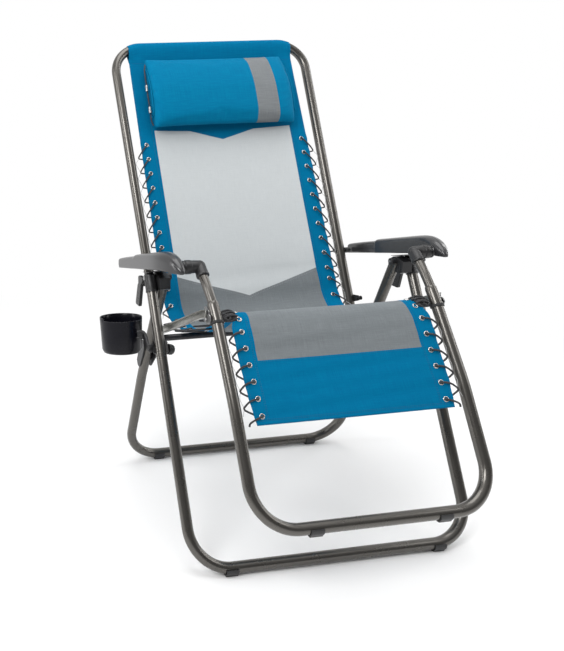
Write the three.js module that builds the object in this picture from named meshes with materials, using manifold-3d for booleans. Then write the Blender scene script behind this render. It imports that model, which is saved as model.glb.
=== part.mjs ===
// Folding sling recliner with a suspended fabric seat, a linked footrest and armrest locks.
// Millimetres, +Z up, -Y is the front. Seen from the front, +X is on the right.
// Origin: on the floor, at mid-width with the cup holder counted, and half way between the
// footrest bar and the top bar. The pieces are drawn in the chair's own frame, with x = 0 on
// its centre line and y = 0 at the front floor bar, and the group is moved as a whole.
import * as THREE from "three";
import { mergeVertices } from "three/addons/utils/BufferGeometryUtils.js";
import Module from "manifold-3d";

const manifold = await Module();
manifold.setup();
const vec = (x, y, z) => new THREE.Vector3(x, y, z);
const radians = THREE.MathUtils.degToRad;

// ---------- driving dimensions ----------
const CHAIR_ORIGIN = vec(51, -313.8, 0);
const HEIGHT = 1162;               // floor to the top of the top bar
const TUBE_R = 12.5;               // main frame tube
const THIN_R = 10.3;               // upper part of the footrest frame
const TUBE_WALL = 1.5;
const TUBE_SIDES = 14;
const BAR_Z = 15.5;                // centre of a floor bar
const BAR_BEND_R = 90;             // bends at the ends of the floor and footrest bars
const FIT = 0.4;                   // clearances around a tube
const SNUG_FIT = 0.35;
const BOLT_R = 3;
const BOLT_HOLE_R = 3.3;
const LOOSE_HOLE_R = 3.4;

// pivots, as [y, z]
const APEX = [284, 601];           // both leg frames and the lock
const LEVER = [APEX[0] + 36, APEX[1] - 19];
const SEAT_AXLE = [323, 432];      // seat frame on the rear leg frame
const BACK_PIVOT = [402.1, 471.7]; // back frame on the seat frame
const KNEE_PIVOT = [91.3, 554.6];  // footrest frame on the seat frame
const ARM_REAR = [486.7, 583.5];   // armrest on the back frame
const ARM_FRONT = [167.6, 653];    // armrest on the footrest frame

// corners on the +X side of each frame
const FRONT_FOOT = vec(329.6, 0, BAR_Z);
const FRONT_TOP = vec(336.6, ...APEX);
const REAR_FOOT = vec(319, 517, BAR_Z);
const REAR_BEND = vec(308, 424, 300);
const REAR_TOP = vec(299, ...APEX);
const FOOT_BAR = [-138.5, 188.4];  // [y, z]
const FOOT_X = 259;
const FOOT_END = vec(FOOT_X - 1.5, 78.5, 557.5);
const TOP_BAR = [766, HEIGHT - TUBE_R];   // [y, z]
const BACK_TOP_X = 289;
const BACK_SLOPE = 0.493;          // y per z along the back
const backY = (z) => TOP_BAR[0] - BACK_SLOPE * (TOP_BAR[1] - z);
const backX = (z) => 275 + (z - 584) * 0.0248;
const backPoint = (z) => vec(backX(z), backY(z), z);

const MATERIALS = {
  tube: { color: 0x5b5751, roughness: 0.32, metalness: 0.75 },
  black: { color: 0x17181a, roughness: 0.5, metalness: 0.0 },
  rail: { color: 0xaeb1ad, roughness: 0.35, metalness: 0.9 },
  dark: { color: 0x26272a, roughness: 0.45, metalness: 0.6 },
  zinc: { color: 0x9a9c9e, roughness: 0.35, metalness: 1.0 },
  blue: { color: 0x0474a4, roughness: 0.85, metalness: 0.0 },
  grey: { color: 0x7a7f82, roughness: 0.85, metalness: 0.0 },
  cup: { color: 0x0c0c0f, roughness: 0.22, metalness: 0.0 },
  cord: { color: 0x101114, roughness: 0.8, metalness: 0.0 },
};

// ---------- solids and meshes ----------
function welded(geometry) {
  const bare = geometry.clone();
  bare.deleteAttribute("normal");
  bare.deleteAttribute("uv");
  return mergeVertices(bare, 1e-4);
}

// A part is a BufferGeometry or a Manifold; these two turn either into the kind needed.
function solid(part) {
  if (!part.isBufferGeometry) return part;
  const geometry = welded(part);
  return new manifold.Manifold(new manifold.Mesh({
    numProp: 3,
    vertProperties: new Float32Array(geometry.attributes.position.array),
    triVerts: new Uint32Array(geometry.index.array),
  }));
}
function geometryOf(part) {
  if (part.isBufferGeometry) return part;
  const mesh = part.simplify(0.02).getMesh();
  const geometry = new THREE.BufferGeometry();
  const positions = new Float32Array(mesh.vertProperties);
  geometry.setAttribute("position", new THREE.BufferAttribute(positions, 3));
  geometry.setIndex(new THREE.BufferAttribute(new Uint32Array(mesh.triVerts), 1));
  geometry.computeVertexNormals();
  return geometry;
}
const cut = (part, ...tools) =>
  tools.reduce((body, tool) => body.subtract(solid(tool)), solid(part));
const join = (part, ...more) =>
  more.reduce((body, other) => body.add(solid(other)), solid(part));

// the same piece on the other side, with its triangles turned to face outward again
function mirrored(geometry) {
  const flipped = welded(geometry.clone().scale(-1, 1, 1));
  const corners = flipped.index.array;
  for (let i = 0; i < corners.length; i += 3) {
    [corners[i + 1], corners[i + 2]] = [corners[i + 2], corners[i + 1]];
  }
  flipped.computeVertexNormals();
  return flipped;
}

const chair = new THREE.Group();
chair.position.copy(CHAIR_ORIGIN);
function add(name, part, material) {
  const mesh = new THREE.Mesh(
    geometryOf(part), new THREE.MeshStandardMaterial(MATERIALS[material]));
  mesh.name = name;
  chair.add(mesh);
}
function pair(name, part, material) {      // drawn on the +X side
  const geometry = geometryOf(part);
  add(`${name}_right`, geometry, material);
  add(`${name}_left`, mirrored(geometry), material);
}

// ---------- paths and tubes ----------
const direction = (from, to) => to.clone().sub(from).normalize();
const shifted = (point, along, distance) => point.clone().addScaledVector(along, distance);

// a path whose samples are exactly its knots
class KnotPath extends THREE.Curve {
  constructor(knots) {
    super();
    this.knots = knots;
    this.last = knots.length - 1;
  }
  getPointAt(u, target = new THREE.Vector3()) {
    return target.copy(this.knots[Math.round(u * this.last)]);
  }
  getTangentAt(u, target = new THREE.Vector3()) {
    const i = Math.round(u * this.last);
    const end = Math.max(i, 1);
    const start = Math.min(i, this.last - 1);
    const arriving = direction(this.knots[end - 1], this.knots[end]);
    const leaving = direction(this.knots[start], this.knots[start + 1]);
    return target.copy(arriving.add(leaving).normalize());
  }
}

// straight runs joined by arcs, one radius for each inner corner, a knot about every stepDegrees
function rounded(corners, radii, stepDegrees = 15) {
  const knots = [corners[0].clone()];
  radii.forEach((radius, i) => {
    const corner = corners[i + 1];
    const toPrevious = direction(corner, corners[i]);
    const toNext = direction(corner, corners[i + 2]);
    const half = toPrevious.angleTo(toNext) / 2;
    const setback = radius / Math.tan(half);
    const bisector = toPrevious.clone().add(toNext).normalize();
    const centre = shifted(corner, bisector, radius / Math.sin(half));
    const first = shifted(corner, toPrevious, setback).sub(centre);
    const last = shifted(corner, toNext, setback).sub(centre);
    const turn = first.angleTo(last);
    const count = Math.max(2, Math.round(THREE.MathUtils.radToDeg(turn) / stepDegrees));
    const axis = first.clone().cross(last).normalize();
    for (let k = 0; k <= count; k++) {
      knots.push(centre.clone().add(first.clone().applyAxisAngle(axis, turn * k / count)));
    }
  });
  knots.push(corners[corners.length - 1].clone());
  return knots;
}

// the path of a whole frame, from its +X half listed outward from the bar
function framePath(half, radii, stepDegrees) {
  const otherHalf = half.map(({ x, y, z }) => vec(-x, y, z)).reverse();
  return rounded([...otherHalf, ...half], [...radii.slice().reverse(), ...radii], stepDegrees);
}

function ring(radius, sides, sense) {
  const points = [];
  for (let k = 0; k < sides; k++) {
    const angle = sense * k * 2 * Math.PI / sides;
    points.push(new THREE.Vector2(radius * Math.cos(angle), radius * Math.sin(angle)));
  }
  return points;
}
function sweep(knots, radius, sides = TUBE_SIDES, bore = 0) {
  const shape = new THREE.Shape(ring(radius, sides, 1));
  if (bore > 0) shape.holes.push(new THREE.Path(ring(bore, sides, -1)));
  return new THREE.ExtrudeGeometry(shape, {
    steps: knots.length - 1, extrudePath: new KnotPath(knots), curveSegments: 1,
  });
}
const tube = (knots, radius) => sweep(knots, radius, TUBE_SIDES, radius - TUBE_WALL);

// ---------- pieces drawn from the side ----------
// outlines are lists of [y, z]; x ranges are [from, to]
const SIDE = new THREE.Matrix4().makeBasis(vec(0, 1, 0), vec(0, 0, 1), vec(1, 0, 0));
function plate(outline, [fromX, toX]) {
  const shape = new THREE.Shape(outline.map(([y, z]) => new THREE.Vector2(y, z)));
  const geometry = new THREE.ExtrudeGeometry(
    shape, { depth: toX - fromX, bevelEnabled: false, curveSegments: 6 });
  geometry.applyMatrix4(SIDE);
  geometry.translate(fromX, 0, 0);
  return geometry;
}
function rod([y, z], [fromX, toX], radius, sides = 12) {
  const geometry = new THREE.CylinderGeometry(radius, radius, toX - fromX, sides);
  geometry.rotateZ(Math.PI / 2);
  geometry.translate((fromX + toX) / 2, y, z);
  return geometry;
}
const boltHole = (pivot, rangeX) => rod(pivot, rangeX, BOLT_HOLE_R);
const bolt = (pivot, shankX, headX, headRadius) =>
  join(rod(pivot, shankX, BOLT_R), rod(pivot, headX, headRadius));

// convex outline around a set of discs [y, z, radius]
function hull(discs) {
  const DISC_POINTS = 14;
  const points = [];
  for (const [y, z, radius] of discs) {
    for (let k = 0; k < DISC_POINTS; k++) {
      const angle = k * 2 * Math.PI / DISC_POINTS;
      points.push([y + radius * Math.cos(angle), z + radius * Math.sin(angle)]);
    }
  }
  points.sort((one, two) => one[0] - two[0] || one[1] - two[1]);
  const cross = (base, one, two) =>
    (one[0] - base[0]) * (two[1] - base[1]) - (one[1] - base[1]) * (two[0] - base[0]);
  const chain = (list) => {
    const kept = [];
    for (const point of list) {
      while (kept.length > 1 && cross(kept.at(-2), kept.at(-1), point) <= 1e-6) kept.pop();
      kept.push(point);
    }
    kept.pop();
    return kept;
  };
  return [...chain(points), ...chain(points.slice().reverse())];
}

// [y, z] of a point given along and across a line that leaves [y, z] at an angle
const sideFrame = ([y, z], angle) => (along, across) => [
  y + along * Math.cos(angle) - across * Math.sin(angle),
  z + along * Math.sin(angle) + across * Math.cos(angle),
];

// ---------- leg frames ----------
const GENTLE_STEP = 12;            // degrees per knot on frames with a wide bend
const REAR_BEND_R = 220;
const frontDir = direction(FRONT_FOOT, FRONT_TOP);
const frontPath = framePath([FRONT_FOOT, shifted(FRONT_TOP, frontDir, 14)], [BAR_BEND_R]);

// everything beyond the rounded ends of the front legs
function beyondFrontEnds() {
  const END_R = 11.4;
  const ARC_STEPS = 12;
  const atLeg = sideFrame(APEX, Math.atan2(frontDir.z, frontDir.y));
  const outline = [];
  for (let k = 0; k <= ARC_STEPS; k++) {
    const angle = -Math.PI / 2 + k * Math.PI / ARC_STEPS;
    outline.push(atLeg(END_R * Math.cos(angle), END_R * Math.sin(angle)));
  }
  outline.push(atLeg(0, 30), atLeg(40, 30), atLeg(40, -30), atLeg(0, -30));
  return plate(outline, [-360, 360]);
}
// small upright hole through the underside of the front floor bar
function undersideHole() {
  const hole = new THREE.CylinderGeometry(2.5, 2.5, 12, 8);
  hole.rotateX(Math.PI / 2);
  hole.translate(0, 0, BAR_Z - 10);
  return hole;
}
add("front_leg_tube", cut(tube(frontPath, TUBE_R), beyondFrontEnds(),
  boltHole(APEX, [-355, 355]), undersideHole()), "tube");

const rearDir = direction(REAR_BEND, REAR_TOP);
const rearEnd = shifted(REAR_TOP, rearDir, 1);
const rearPath = framePath(
  [REAR_FOOT, REAR_BEND, rearEnd], [BAR_BEND_R, REAR_BEND_R], GENTLE_STEP);
add("rear_leg_tube", cut(tube(rearPath, TUBE_R), boltHole(APEX, [-352, 352])), "tube");
const rearLegSpace = sweep(rounded([REAR_FOOT, REAR_BEND, shifted(rearEnd, rearDir, 0.6)],
  [REAR_BEND_R], GENTLE_STEP), TUBE_R + FIT);

// ---------- locks ----------
const fromApex = ([y, z]) => [APEX[0] + y, APEX[1] + z];
// outline of the housing, [y, z] from the apex
const HOUSING = [
  [-34, -22], [-34, 5.3], [-12, 10], [0, 11.4], [7, 10.4], [27, -4], [38, -9.5],
  [44, -14], [45, -22], [40, -28], [28, -29], [14, -27], [-24, -27],
];
// around the tops of the rear legs, reaching back past the lever pivot
pair("lock_housing", cut(plate(HOUSING.map(fromApex), [284.6, 323.4]), rearLegSpace,
  rod(APEX, [280, 330], LOOSE_HOLE_R), rod(LEVER, [316, 330], 4.4)), "black");
pair("apex_bolt", bolt(APEX, [283.5, 352], [349.5, 351.8], 6), "zinc");

// lever blade with its pivot boss and pin
const leverBlade = hull([
  [...LEVER, 7],
  [...fromApex([52, -34]), 5], [...fromApex([66, -80]), 5], [...fromApex([48, -80]), 5],
]);
pair("lock_lever", join(plate(leverBlade, [341.2, 349.2]),
  rod(LEVER, [323.9, 345], 7, 16), rod(LEVER, [316.8, 326], 4)), "black");

// slider shoes: thin strips above the apex, sloping with the undersides of the armrests
const SHOE = { angle: radians(-12.8), halfLength: 24, bottom: 12.8, top: 13.8 };
const atShoe = sideFrame(APEX, SHOE.angle);
pair("slider_shoe", plate([
  atShoe(-SHOE.halfLength, SHOE.bottom), atShoe(SHOE.halfLength, SHOE.bottom),
  atShoe(SHOE.halfLength, SHOE.top), atShoe(-SHOE.halfLength, SHOE.top),
], [304, 346]), "black");

// ---------- rear leg brackets and seat axle ----------
const BRACKET_X = 305;
const BRACKET_IN = BRACKET_X - 16.4;     // inner and outer faces
const BRACKET_OUT = BRACKET_X + 16.8;
const AXLE_SIDES = 16;
const bracketDiscs = [[413, 338, 13], [386, 392, 15]];
const bracketWeb = [[425.5, 336], [428.5, 337.5], [400.5, 398], [397.5, 396.5]];
// channels on the rear legs; the inner cheek reaches forward to the seat axle
const bracket = join(
  plate(hull([...bracketDiscs, [...SEAT_AXLE, 13]]), [BRACKET_IN, BRACKET_X - 13.2]),
  plate(hull(bracketDiscs), [BRACKET_X + 13.6, BRACKET_OUT]),
  plate(bracketWeb, [BRACKET_IN, BRACKET_OUT]));
pair("rear_leg_bracket", cut(bracket, rearLegSpace,
  rod(SEAT_AXLE, [BRACKET_X - 20, BRACKET_X - 10], 8.35, AXLE_SIDES)), "dark");
const AXLE_END_X = BRACKET_X - 13.4;
add("seat_axle_tube", cut(rod(SEAT_AXLE, [-AXLE_END_X, AXLE_END_X], 8, AXLE_SIDES),
  rod(SEAT_AXLE, [-310, 310], 6.6, AXLE_SIDES)), "dark");

// ---------- clips under the bars ----------
const CLIP = {
  outer: BAR_Z,                    // a floor clip's flat foot is on the floor
  inner: 12.9,
  halfLength: 14.5,
  footHalf: 8.5,                   // half the width of the flat foot
  arcBottom: -12.5,                // the outer arc gives way to the foot below this
  lip: radians(18),                // how far the arms rise past the bar's middle
  steps: 12,
};
function clip(x, [barY, barZ]) {
  const span = Math.PI + 2 * CLIP.lip;
  const outerArc = [];
  const innerArc = [];
  for (let k = 0; k <= CLIP.steps; k++) {
    const outward = CLIP.lip - k * span / CLIP.steps;
    outerArc.push([CLIP.outer * Math.cos(outward), CLIP.outer * Math.sin(outward)]);
    const inward = Math.PI - CLIP.lip + k * span / CLIP.steps;
    innerArc.push([CLIP.inner * Math.cos(inward), CLIP.inner * Math.sin(inward)]);
  }
  const arms = outerArc.filter(([, z]) => z > CLIP.arcBottom);
  const outline = [
    ...arms.filter(([y]) => y > 0),
    [CLIP.footHalf, -CLIP.outer], [-CLIP.footHalf, -CLIP.outer],
    ...arms.filter(([y]) => y < 0),
    ...innerArc,
  ].map(([y, z]) => [barY + y, barZ + z]);
  return plate(outline, [x - CLIP.halfLength, x + CLIP.halfLength]);
}
const frontBarSpace = sweep(frontPath, TUBE_R + SNUG_FIT);
const rearBarSpace = sweep(rearPath, TUBE_R + SNUG_FIT);
// name, x, bar, space cut out for the bar
const CLIPS = [
  ["floor_clip_front", 246, [0, BAR_Z], frontBarSpace],
  ["floor_clip_rear", 228, [REAR_FOOT.y, BAR_Z], rearBarSpace],
  ["footrest_clip", 139, FOOT_BAR, null],
];
for (const [name, x, bar, space] of CLIPS) {
  for (const [side, sign] of [["right", 1], ["left", -1]]) {
    const body = clip(sign * x, bar);
    add(`${name}_${side}`, space ? cut(body, space) : body, "black");
  }
}

// ---------- footrest frame ----------
const footPath = framePath([vec(FOOT_X, ...FOOT_BAR), vec(FOOT_X, -20, 408), FOOT_END],
  [BAR_BEND_R, 500], GENTLE_STEP);
add("footrest_tube", tube(footPath, TUBE_R), "tube");

const upperTop = vec(FOOT_END.x + 1, ...ARM_FRONT);
const upperPath = rounded([
  vec(FOOT_END.x, 66.5, 540.5), vec(FOOT_END.x, 88, 572),
  vec(FOOT_END.x + 0.5, 122, 610), upperTop,
], [200, 200], 6);
pair("footrest_upper_tube", tube(upperPath, THIN_R), "tube");

const KNEE_RING = { outer: 14.5, inner: 13, halfLength: 3, sides: 20 };
const kneeDir = vec(0, 0.555, 0.832);
const kneeCentre = vec(FOOT_END.x, 74.6, 551.6);
pair("knee_ring", sweep([
  shifted(kneeCentre, kneeDir, -KNEE_RING.halfLength),
  shifted(kneeCentre, kneeDir, KNEE_RING.halfLength),
], KNEE_RING.outer, KNEE_RING.sides, KNEE_RING.inner), "black");

// cap over the tube end, with the neck and pin that meet the armrest
function elbowCap() {
  const CAP_R = 13.6;
  const upperDir = direction(upperPath.at(-2), upperTop);
  const ball = new THREE.SphereGeometry(CAP_R, 16, 10);
  ball.translate(upperTop.x, upperTop.y, upperTop.z);
  const socket = sweep([shifted(upperTop, upperDir, -30), upperTop], CAP_R, 16);
  const neck = rod(ARM_FRONT, [upperTop.x, 299.3], 12.8, 18);
  const pin = rod(ARM_FRONT, [290, 304], 4);
  const tubeSpace = sweep(
    [...upperPath.slice(-3, -1), shifted(upperTop, upperDir, 0.6)], THIN_R + FIT);
  return cut(join(socket, ball, neck, pin), tubeSpace);
}
pair("elbow_cap", elbowCap(), "black");

// ---------- seat frame ----------
const RAIL = { front: [84, 576], rear: [372, 434.6], half: 9, wall: 1.8, inX: 275, outX: 287 };
const PIVOT_CUT_X = [270, 292];    // clears everything at the knee and back pivots

// channel open to the outside, with an outer plate that reaches back to the back pivot
function seatRail() {
  const alongY = RAIL.rear[0] - RAIL.front[0];
  const alongZ = RAIL.rear[1] - RAIL.front[1];
  const length = Math.hypot(alongY, alongZ);
  const atRail = sideFrame(RAIL.front, Math.atan2(alongZ, alongY));
  const strip = (from, to, half) =>
    [atRail(from, -half), atRail(to, -half), atRail(to, half), atRail(from, half)];
  const disc = (along, radius) => [...atRail(along, 0), radius];
  const axleDiscs = [[...SEAT_AXLE, 13], disc(length - 70, 8.8)];
  const webX = [RAIL.inX, RAIL.inX + RAIL.wall];

  const channel = cut(plate(strip(0, length, RAIL.half), [RAIL.inX, RAIL.outX]),
    plate(strip(-5, length + 5, RAIL.half - RAIL.wall), [RAIL.inX + RAIL.wall, RAIL.outX + 5]));
  const body = join(channel,
    plate(hull([[...KNEE_PIVOT, 10], disc(14, 8.8), disc(40, 6)]), webX),
    plate(hull([...axleDiscs, disc(length - 28, 8.8)]), webX),
    plate(hull([...axleDiscs, disc(length - 10, 8.8), [...BACK_PIVOT, 10.5]]), [285.2, 288]));
  return cut(body, boltHole(KNEE_PIVOT, PIVOT_CUT_X), boltHole(BACK_PIVOT, PIVOT_CUT_X),
    rod(SEAT_AXLE, [270, 295], 8.4, AXLE_SIDES));
}
pair("seat_rail", seatRail(), "rail");
pair("knee_bolt", bolt(KNEE_PIVOT, [268.6, 280.5], [277.2, 280.5], 5.6), "zinc");
// lugs on the footrest frame
pair("knee_lug", cut(plate(hull([[...KNEE_PIVOT, 9.5], [82, 560, 9]]), [272.3, 274.6]),
  boltHole(KNEE_PIVOT, PIVOT_CUT_X)), "zinc");

// ---------- back frame ----------
const backPath = framePath([vec(BACK_TOP_X, ...TOP_BAR), backPoint(437)], [78]);
add("back_frame_tube", cut(tube(backPath, TUBE_R), boltHole(ARM_REAR, [-300, 300])), "tube");
const backBracket = hull([[...BACK_PIVOT, 9.5], [backY(492), 492, 7], [backY(452), 452, 7]]);
pair("back_bracket", cut(plate(backBracket, [279.5, 284.6]),
  sweep([backPoint(420), backPoint(620)], TUBE_R + SNUG_FIT),
  boltHole(BACK_PIVOT, PIVOT_CUT_X)), "dark");
pair("back_pivot_bolt", bolt(BACK_PIVOT, [277, 288.4], [288.3, 291], 5.6), "zinc");

// ---------- armrests ----------
const underZ = (y) => 571.7 + (497 - y) * 0.2266;   // straight underside
const POCKET_DROP = 6;             // how far the pocket cutter hangs below the underside
// outlines, [y, z]
const ARM_FRONT_PART = [
  [376, underZ(376)], [376, 635.4], [374, 636], [302, 655.5], [237, 673.5], [205, 680.5],
  [183, 681.5], [161, 677], [143, 667], [129, 655], [131, 647], [138, 645], [158, underZ(158)],
];
const ARM_REAR_PART = [
  [501, 592], [440, 610], [370, 631], [370, underZ(370)], [494, underZ(494)], [502, 572],
];
const ARM_POCKET = [
  [478, underZ(478) - POCKET_DROP], [478, 588], [376, 620], [300, 646], [237, 665],
  [190, 671], [160, 664], [156, underZ(156) - POCKET_DROP],
];
const armBody = join(plate(ARM_FRONT_PART, [300, 349.2]), plate(ARM_REAR_PART, [303, 343]));
pair("armrest", cut(armBody, plate(ARM_POCKET, [306, 340]),
  boltHole(ARM_REAR, [290, 320]), rod(ARM_FRONT, [290, 310], 6.8, 16)), "black");
pair("arm_bushing", cut(rod(ARM_REAR, [288.2, 302.6], 7.6, 16),
  rod(ARM_REAR, [280, 310], LOOSE_HOLE_R)), "black");
pair("arm_bolt", bolt(ARM_REAR, [257.6, 305.6], [257.6, 260.6], 5.4), "zinc");

// ---------- cup holder, on the left front leg ----------
// x, y, z is the cup's middle; its top leans back
const CUP = {
  x: -403, y: 296, z: 461, topR: 51, height: 86, taper: 4.6, wall: 2.6,
  tilt: radians(-9), sides: 36,
};
const CUP_BASE_R = CUP.topR - CUP.taper;
const CUP_PROFILE = [              // [radius, height above the cup's base]
  [0, 0], [CUP_BASE_R - 4, 0], [CUP_BASE_R - 1, 2.5], [CUP_BASE_R, 8],
  [CUP.topR, CUP.height], [CUP.topR - CUP.wall, CUP.height],
  [CUP_BASE_R - CUP.wall - 0.6, 6], [0, 5],
];
function placeCup(geometry) {
  geometry.rotateX(CUP.tilt);
  geometry.translate(CUP.x, CUP.y, CUP.z);
  return geometry;
}
// cup with a notch in the front of its rim
function cupHolder() {
  const profile = CUP_PROFILE.map(([radius, height]) => new THREE.Vector2(radius, height));
  const shell = new THREE.LatheGeometry(profile, CUP.sides);
  shell.rotateX(Math.PI / 2);
  shell.translate(0, 0, -CUP.height / 2);
  const notch = new THREE.BoxGeometry(140, 80, 12);
  notch.translate(0, -54, CUP.height / 2 + 0.2);
  return cut(placeCup(shell), placeCup(notch));
}
add("cup_holder", cupHolder(), "cup");

function leftLegAt(z) {
  const part = (z - BAR_Z) / (FRONT_TOP.z - BAR_Z);
  return vec(-(FRONT_FOOT.x + (FRONT_TOP.x - FRONT_FOOT.x) * part), FRONT_TOP.y * part, z);
}
const clampCentre = leftLegAt(452);
const knobDir = vec(0.86, 0.36, -0.36).normalize();
const knobRod = (from, to, radius) => sweep(
  [shifted(clampCentre, knobDir, from), shifted(clampCentre, knobDir, to)], radius, 12);

// flat bar from the clamp to the cup
function cupBar() {
  const from = clampCentre.clone().add(vec(-8, 12, 2));
  const to = vec(CUP.x + 31, CUP.y - 41, CUP.z + 9);
  const bar = new THREE.BoxGeometry(9, from.distanceTo(to) + 10, 22);
  bar.applyMatrix4(new THREE.Matrix4().lookAt(from, to, vec(0, 0, 1))
    .multiply(new THREE.Matrix4().makeRotationX(Math.PI / 2)));
  bar.translate((from.x + to.x) / 2, (from.y + to.y) / 2, (from.z + to.z) / 2);
  return bar;
}
// ring around the leg, the bar, and a boss bored for the knob's screw
function cupHolderArm() {
  const low = leftLegAt(400);
  const high = leftLegAt(500);
  const legDir = direction(low, high);
  const clampRing = sweep(
    [shifted(clampCentre, legDir, -13), shifted(clampCentre, legDir, 13)], 17.5, 20);
  const cupSpace = new THREE.CylinderGeometry(
    CUP.topR + 0.45, CUP_BASE_R - 0.1, CUP.height, CUP.sides);
  cupSpace.rotateX(Math.PI / 2);
  return cut(join(clampRing, cupBar(), knobRod(10, 21, 7.5)),
    sweep([low, high], TUBE_R + SNUG_FIT), placeCup(cupSpace), knobRod(12, 30, BOLT_HOLE_R));
}
add("cup_holder_arm", cupHolderArm(), "black");
add("cup_clamp_knob", join(knobRod(21.5, 38, 13), knobRod(14.5, 24, 2.9)), "black");

// ---------- fabric ----------
const FABRIC = 5;                  // thickness
// a sheet of even thickness about a centre line of [y, z]
function sling(line, halfWidth) {
  const upper = [];
  const lower = [];
  line.forEach(([y, z], i) => {
    const before = line[Math.max(i - 1, 0)];
    const after = line[Math.min(i + 1, line.length - 1)];
    const length = Math.hypot(after[0] - before[0], after[1] - before[1]);
    const normalY = -(after[1] - before[1]) / length;
    const normalZ = (after[0] - before[0]) / length;
    upper.push([y + normalY * FABRIC / 2, z + normalZ * FABRIC / 2]);
    lower.push([y - normalY * FABRIC / 2, z - normalZ * FABRIC / 2]);
  });
  return plate([...upper, ...lower.reverse()], [-halfWidth, halfWidth]);
}
// back sheet with a sleeve around the top bar
const backSheet = sling(
  [[TOP_BAR[0] - 6, TOP_BAR[1] - 12], [backY(900), 900], [backY(520) + 2, 520]], 240);
add("back_sling", cut(join(backSheet, rod(TOP_BAR, [-206, 206], 15.6, 16)),
  rod(TOP_BAR, [-250, 250], 12.9, TUBE_SIDES * 2), sweep(backPath, TUBE_R + FIT)), "blue");
add("seat_sling", sling([[398, 444], [300, 462], [200, 503], [146, 536]], 224), "grey");
add("footrest_sling", sling([[60, 520], [28, 476], [-20, 410], [-50, 366]], 226), "blue");

// headrest pillow in front of the back sling: a squared-off oval
const PILLOW = {
  z: 1012, forward: 33, halfLength: 96, halfThick: 27, halfWidth: 210, power: 0.62, points: 20,
};
function pillowOutline() {
  const atBack = sideFrame([backY(PILLOW.z), PILLOW.z], Math.atan2(1, BACK_SLOPE));
  const squared = (value) => Math.sign(value) * Math.pow(Math.abs(value), PILLOW.power);
  const outline = [];
  for (let k = 0; k < PILLOW.points; k++) {
    const angle = k * 2 * Math.PI / PILLOW.points;
    outline.push(atBack(squared(Math.cos(angle)) * PILLOW.halfLength,
      PILLOW.forward + squared(Math.sin(angle)) * PILLOW.halfThick));
  }
  return outline;
}
add("headrest_pillow", plate(pillowOutline(), [-PILLOW.halfWidth, PILLOW.halfWidth]), "blue");

// elastic cord in zigzags between a sling's edge and its tube; from and to are [y, z]
function lace(from, to, count, slingX, tubeX) {
  const knots = [];
  for (let k = 0; k <= count * 2; k++) {
    const part = k / (count * 2);
    const y = from[0] + (to[0] - from[0]) * part;
    const z = from[1] + (to[1] - from[1]) * part;
    knots.push(vec(k % 2 ? tubeX : slingX, y, z));
  }
  return sweep(knots, 1.6, 6);
}
pair("back_lace", lace([backY(890), 890], [backY(545), 545], 8, 243.5, 257), "cord");
pair("footrest_lace", lace([57, 521], [-44, 373], 6, 230, 243), "cord");

export default chair;
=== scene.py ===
import math

import bmesh
import bpy
import numpy as np
from mathutils import Matrix, Vector


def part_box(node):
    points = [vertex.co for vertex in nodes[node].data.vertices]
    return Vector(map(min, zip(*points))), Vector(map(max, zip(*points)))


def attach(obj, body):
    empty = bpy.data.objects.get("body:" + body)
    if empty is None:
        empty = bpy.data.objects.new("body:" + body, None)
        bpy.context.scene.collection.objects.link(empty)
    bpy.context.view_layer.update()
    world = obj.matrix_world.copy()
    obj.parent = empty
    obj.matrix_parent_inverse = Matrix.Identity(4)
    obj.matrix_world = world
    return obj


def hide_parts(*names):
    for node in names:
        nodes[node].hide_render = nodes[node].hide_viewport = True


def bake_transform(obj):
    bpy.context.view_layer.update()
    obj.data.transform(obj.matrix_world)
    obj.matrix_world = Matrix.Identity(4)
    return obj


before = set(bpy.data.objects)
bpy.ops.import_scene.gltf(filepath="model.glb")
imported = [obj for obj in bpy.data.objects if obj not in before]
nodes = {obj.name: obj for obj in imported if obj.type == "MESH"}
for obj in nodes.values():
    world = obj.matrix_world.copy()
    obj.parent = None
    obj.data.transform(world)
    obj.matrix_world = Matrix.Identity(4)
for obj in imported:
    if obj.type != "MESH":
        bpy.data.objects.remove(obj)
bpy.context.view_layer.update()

# ---------------------------------------------------------------- design numbers
# Lengths below are millimetres in the CAD source's own layout: y runs back from the front floor bar, z up from the floor.
R = 12.5
Z_BAR = 15.5
HEIGHT = 1162.0
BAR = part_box("front_leg_tube")
X_MID = round((BAR[0].x + BAR[1].x) / 2, 4)              # the chair's own centre line in the row frame
Y_BAR = round(BAR[0].y + R / 1000, 4)                    # the front floor bar in the row frame
APEX = (284.0, 601.0)
SEAT_AXLE = (323.0, 432.0)
BACK_PIVOT = (402.1, 471.7)
KNEE = (91.3, 554.6)
ARM_REAR = (486.7, 583.5)
ARM_FRONT = (167.6, 653.0)
LEVER = (APEX[0] + 36, APEX[1] - 19)
SLOPE = 0.493
TOP = (766.0, HEIGHT - R)


def back_y(z):
    return TOP[0] - SLOPE * (TOP[1] - z)


def back_w(z):
    return 275 + (z - 584) * 0.0248


def under(y):
    return 571.7 + (497 - y) * 0.2266


# ---------------------------------------------------------------- mesh helpers
def unit(v):
    v = np.asarray(v, float)
    return v / max(np.linalg.norm(v), 1e-12)


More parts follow.
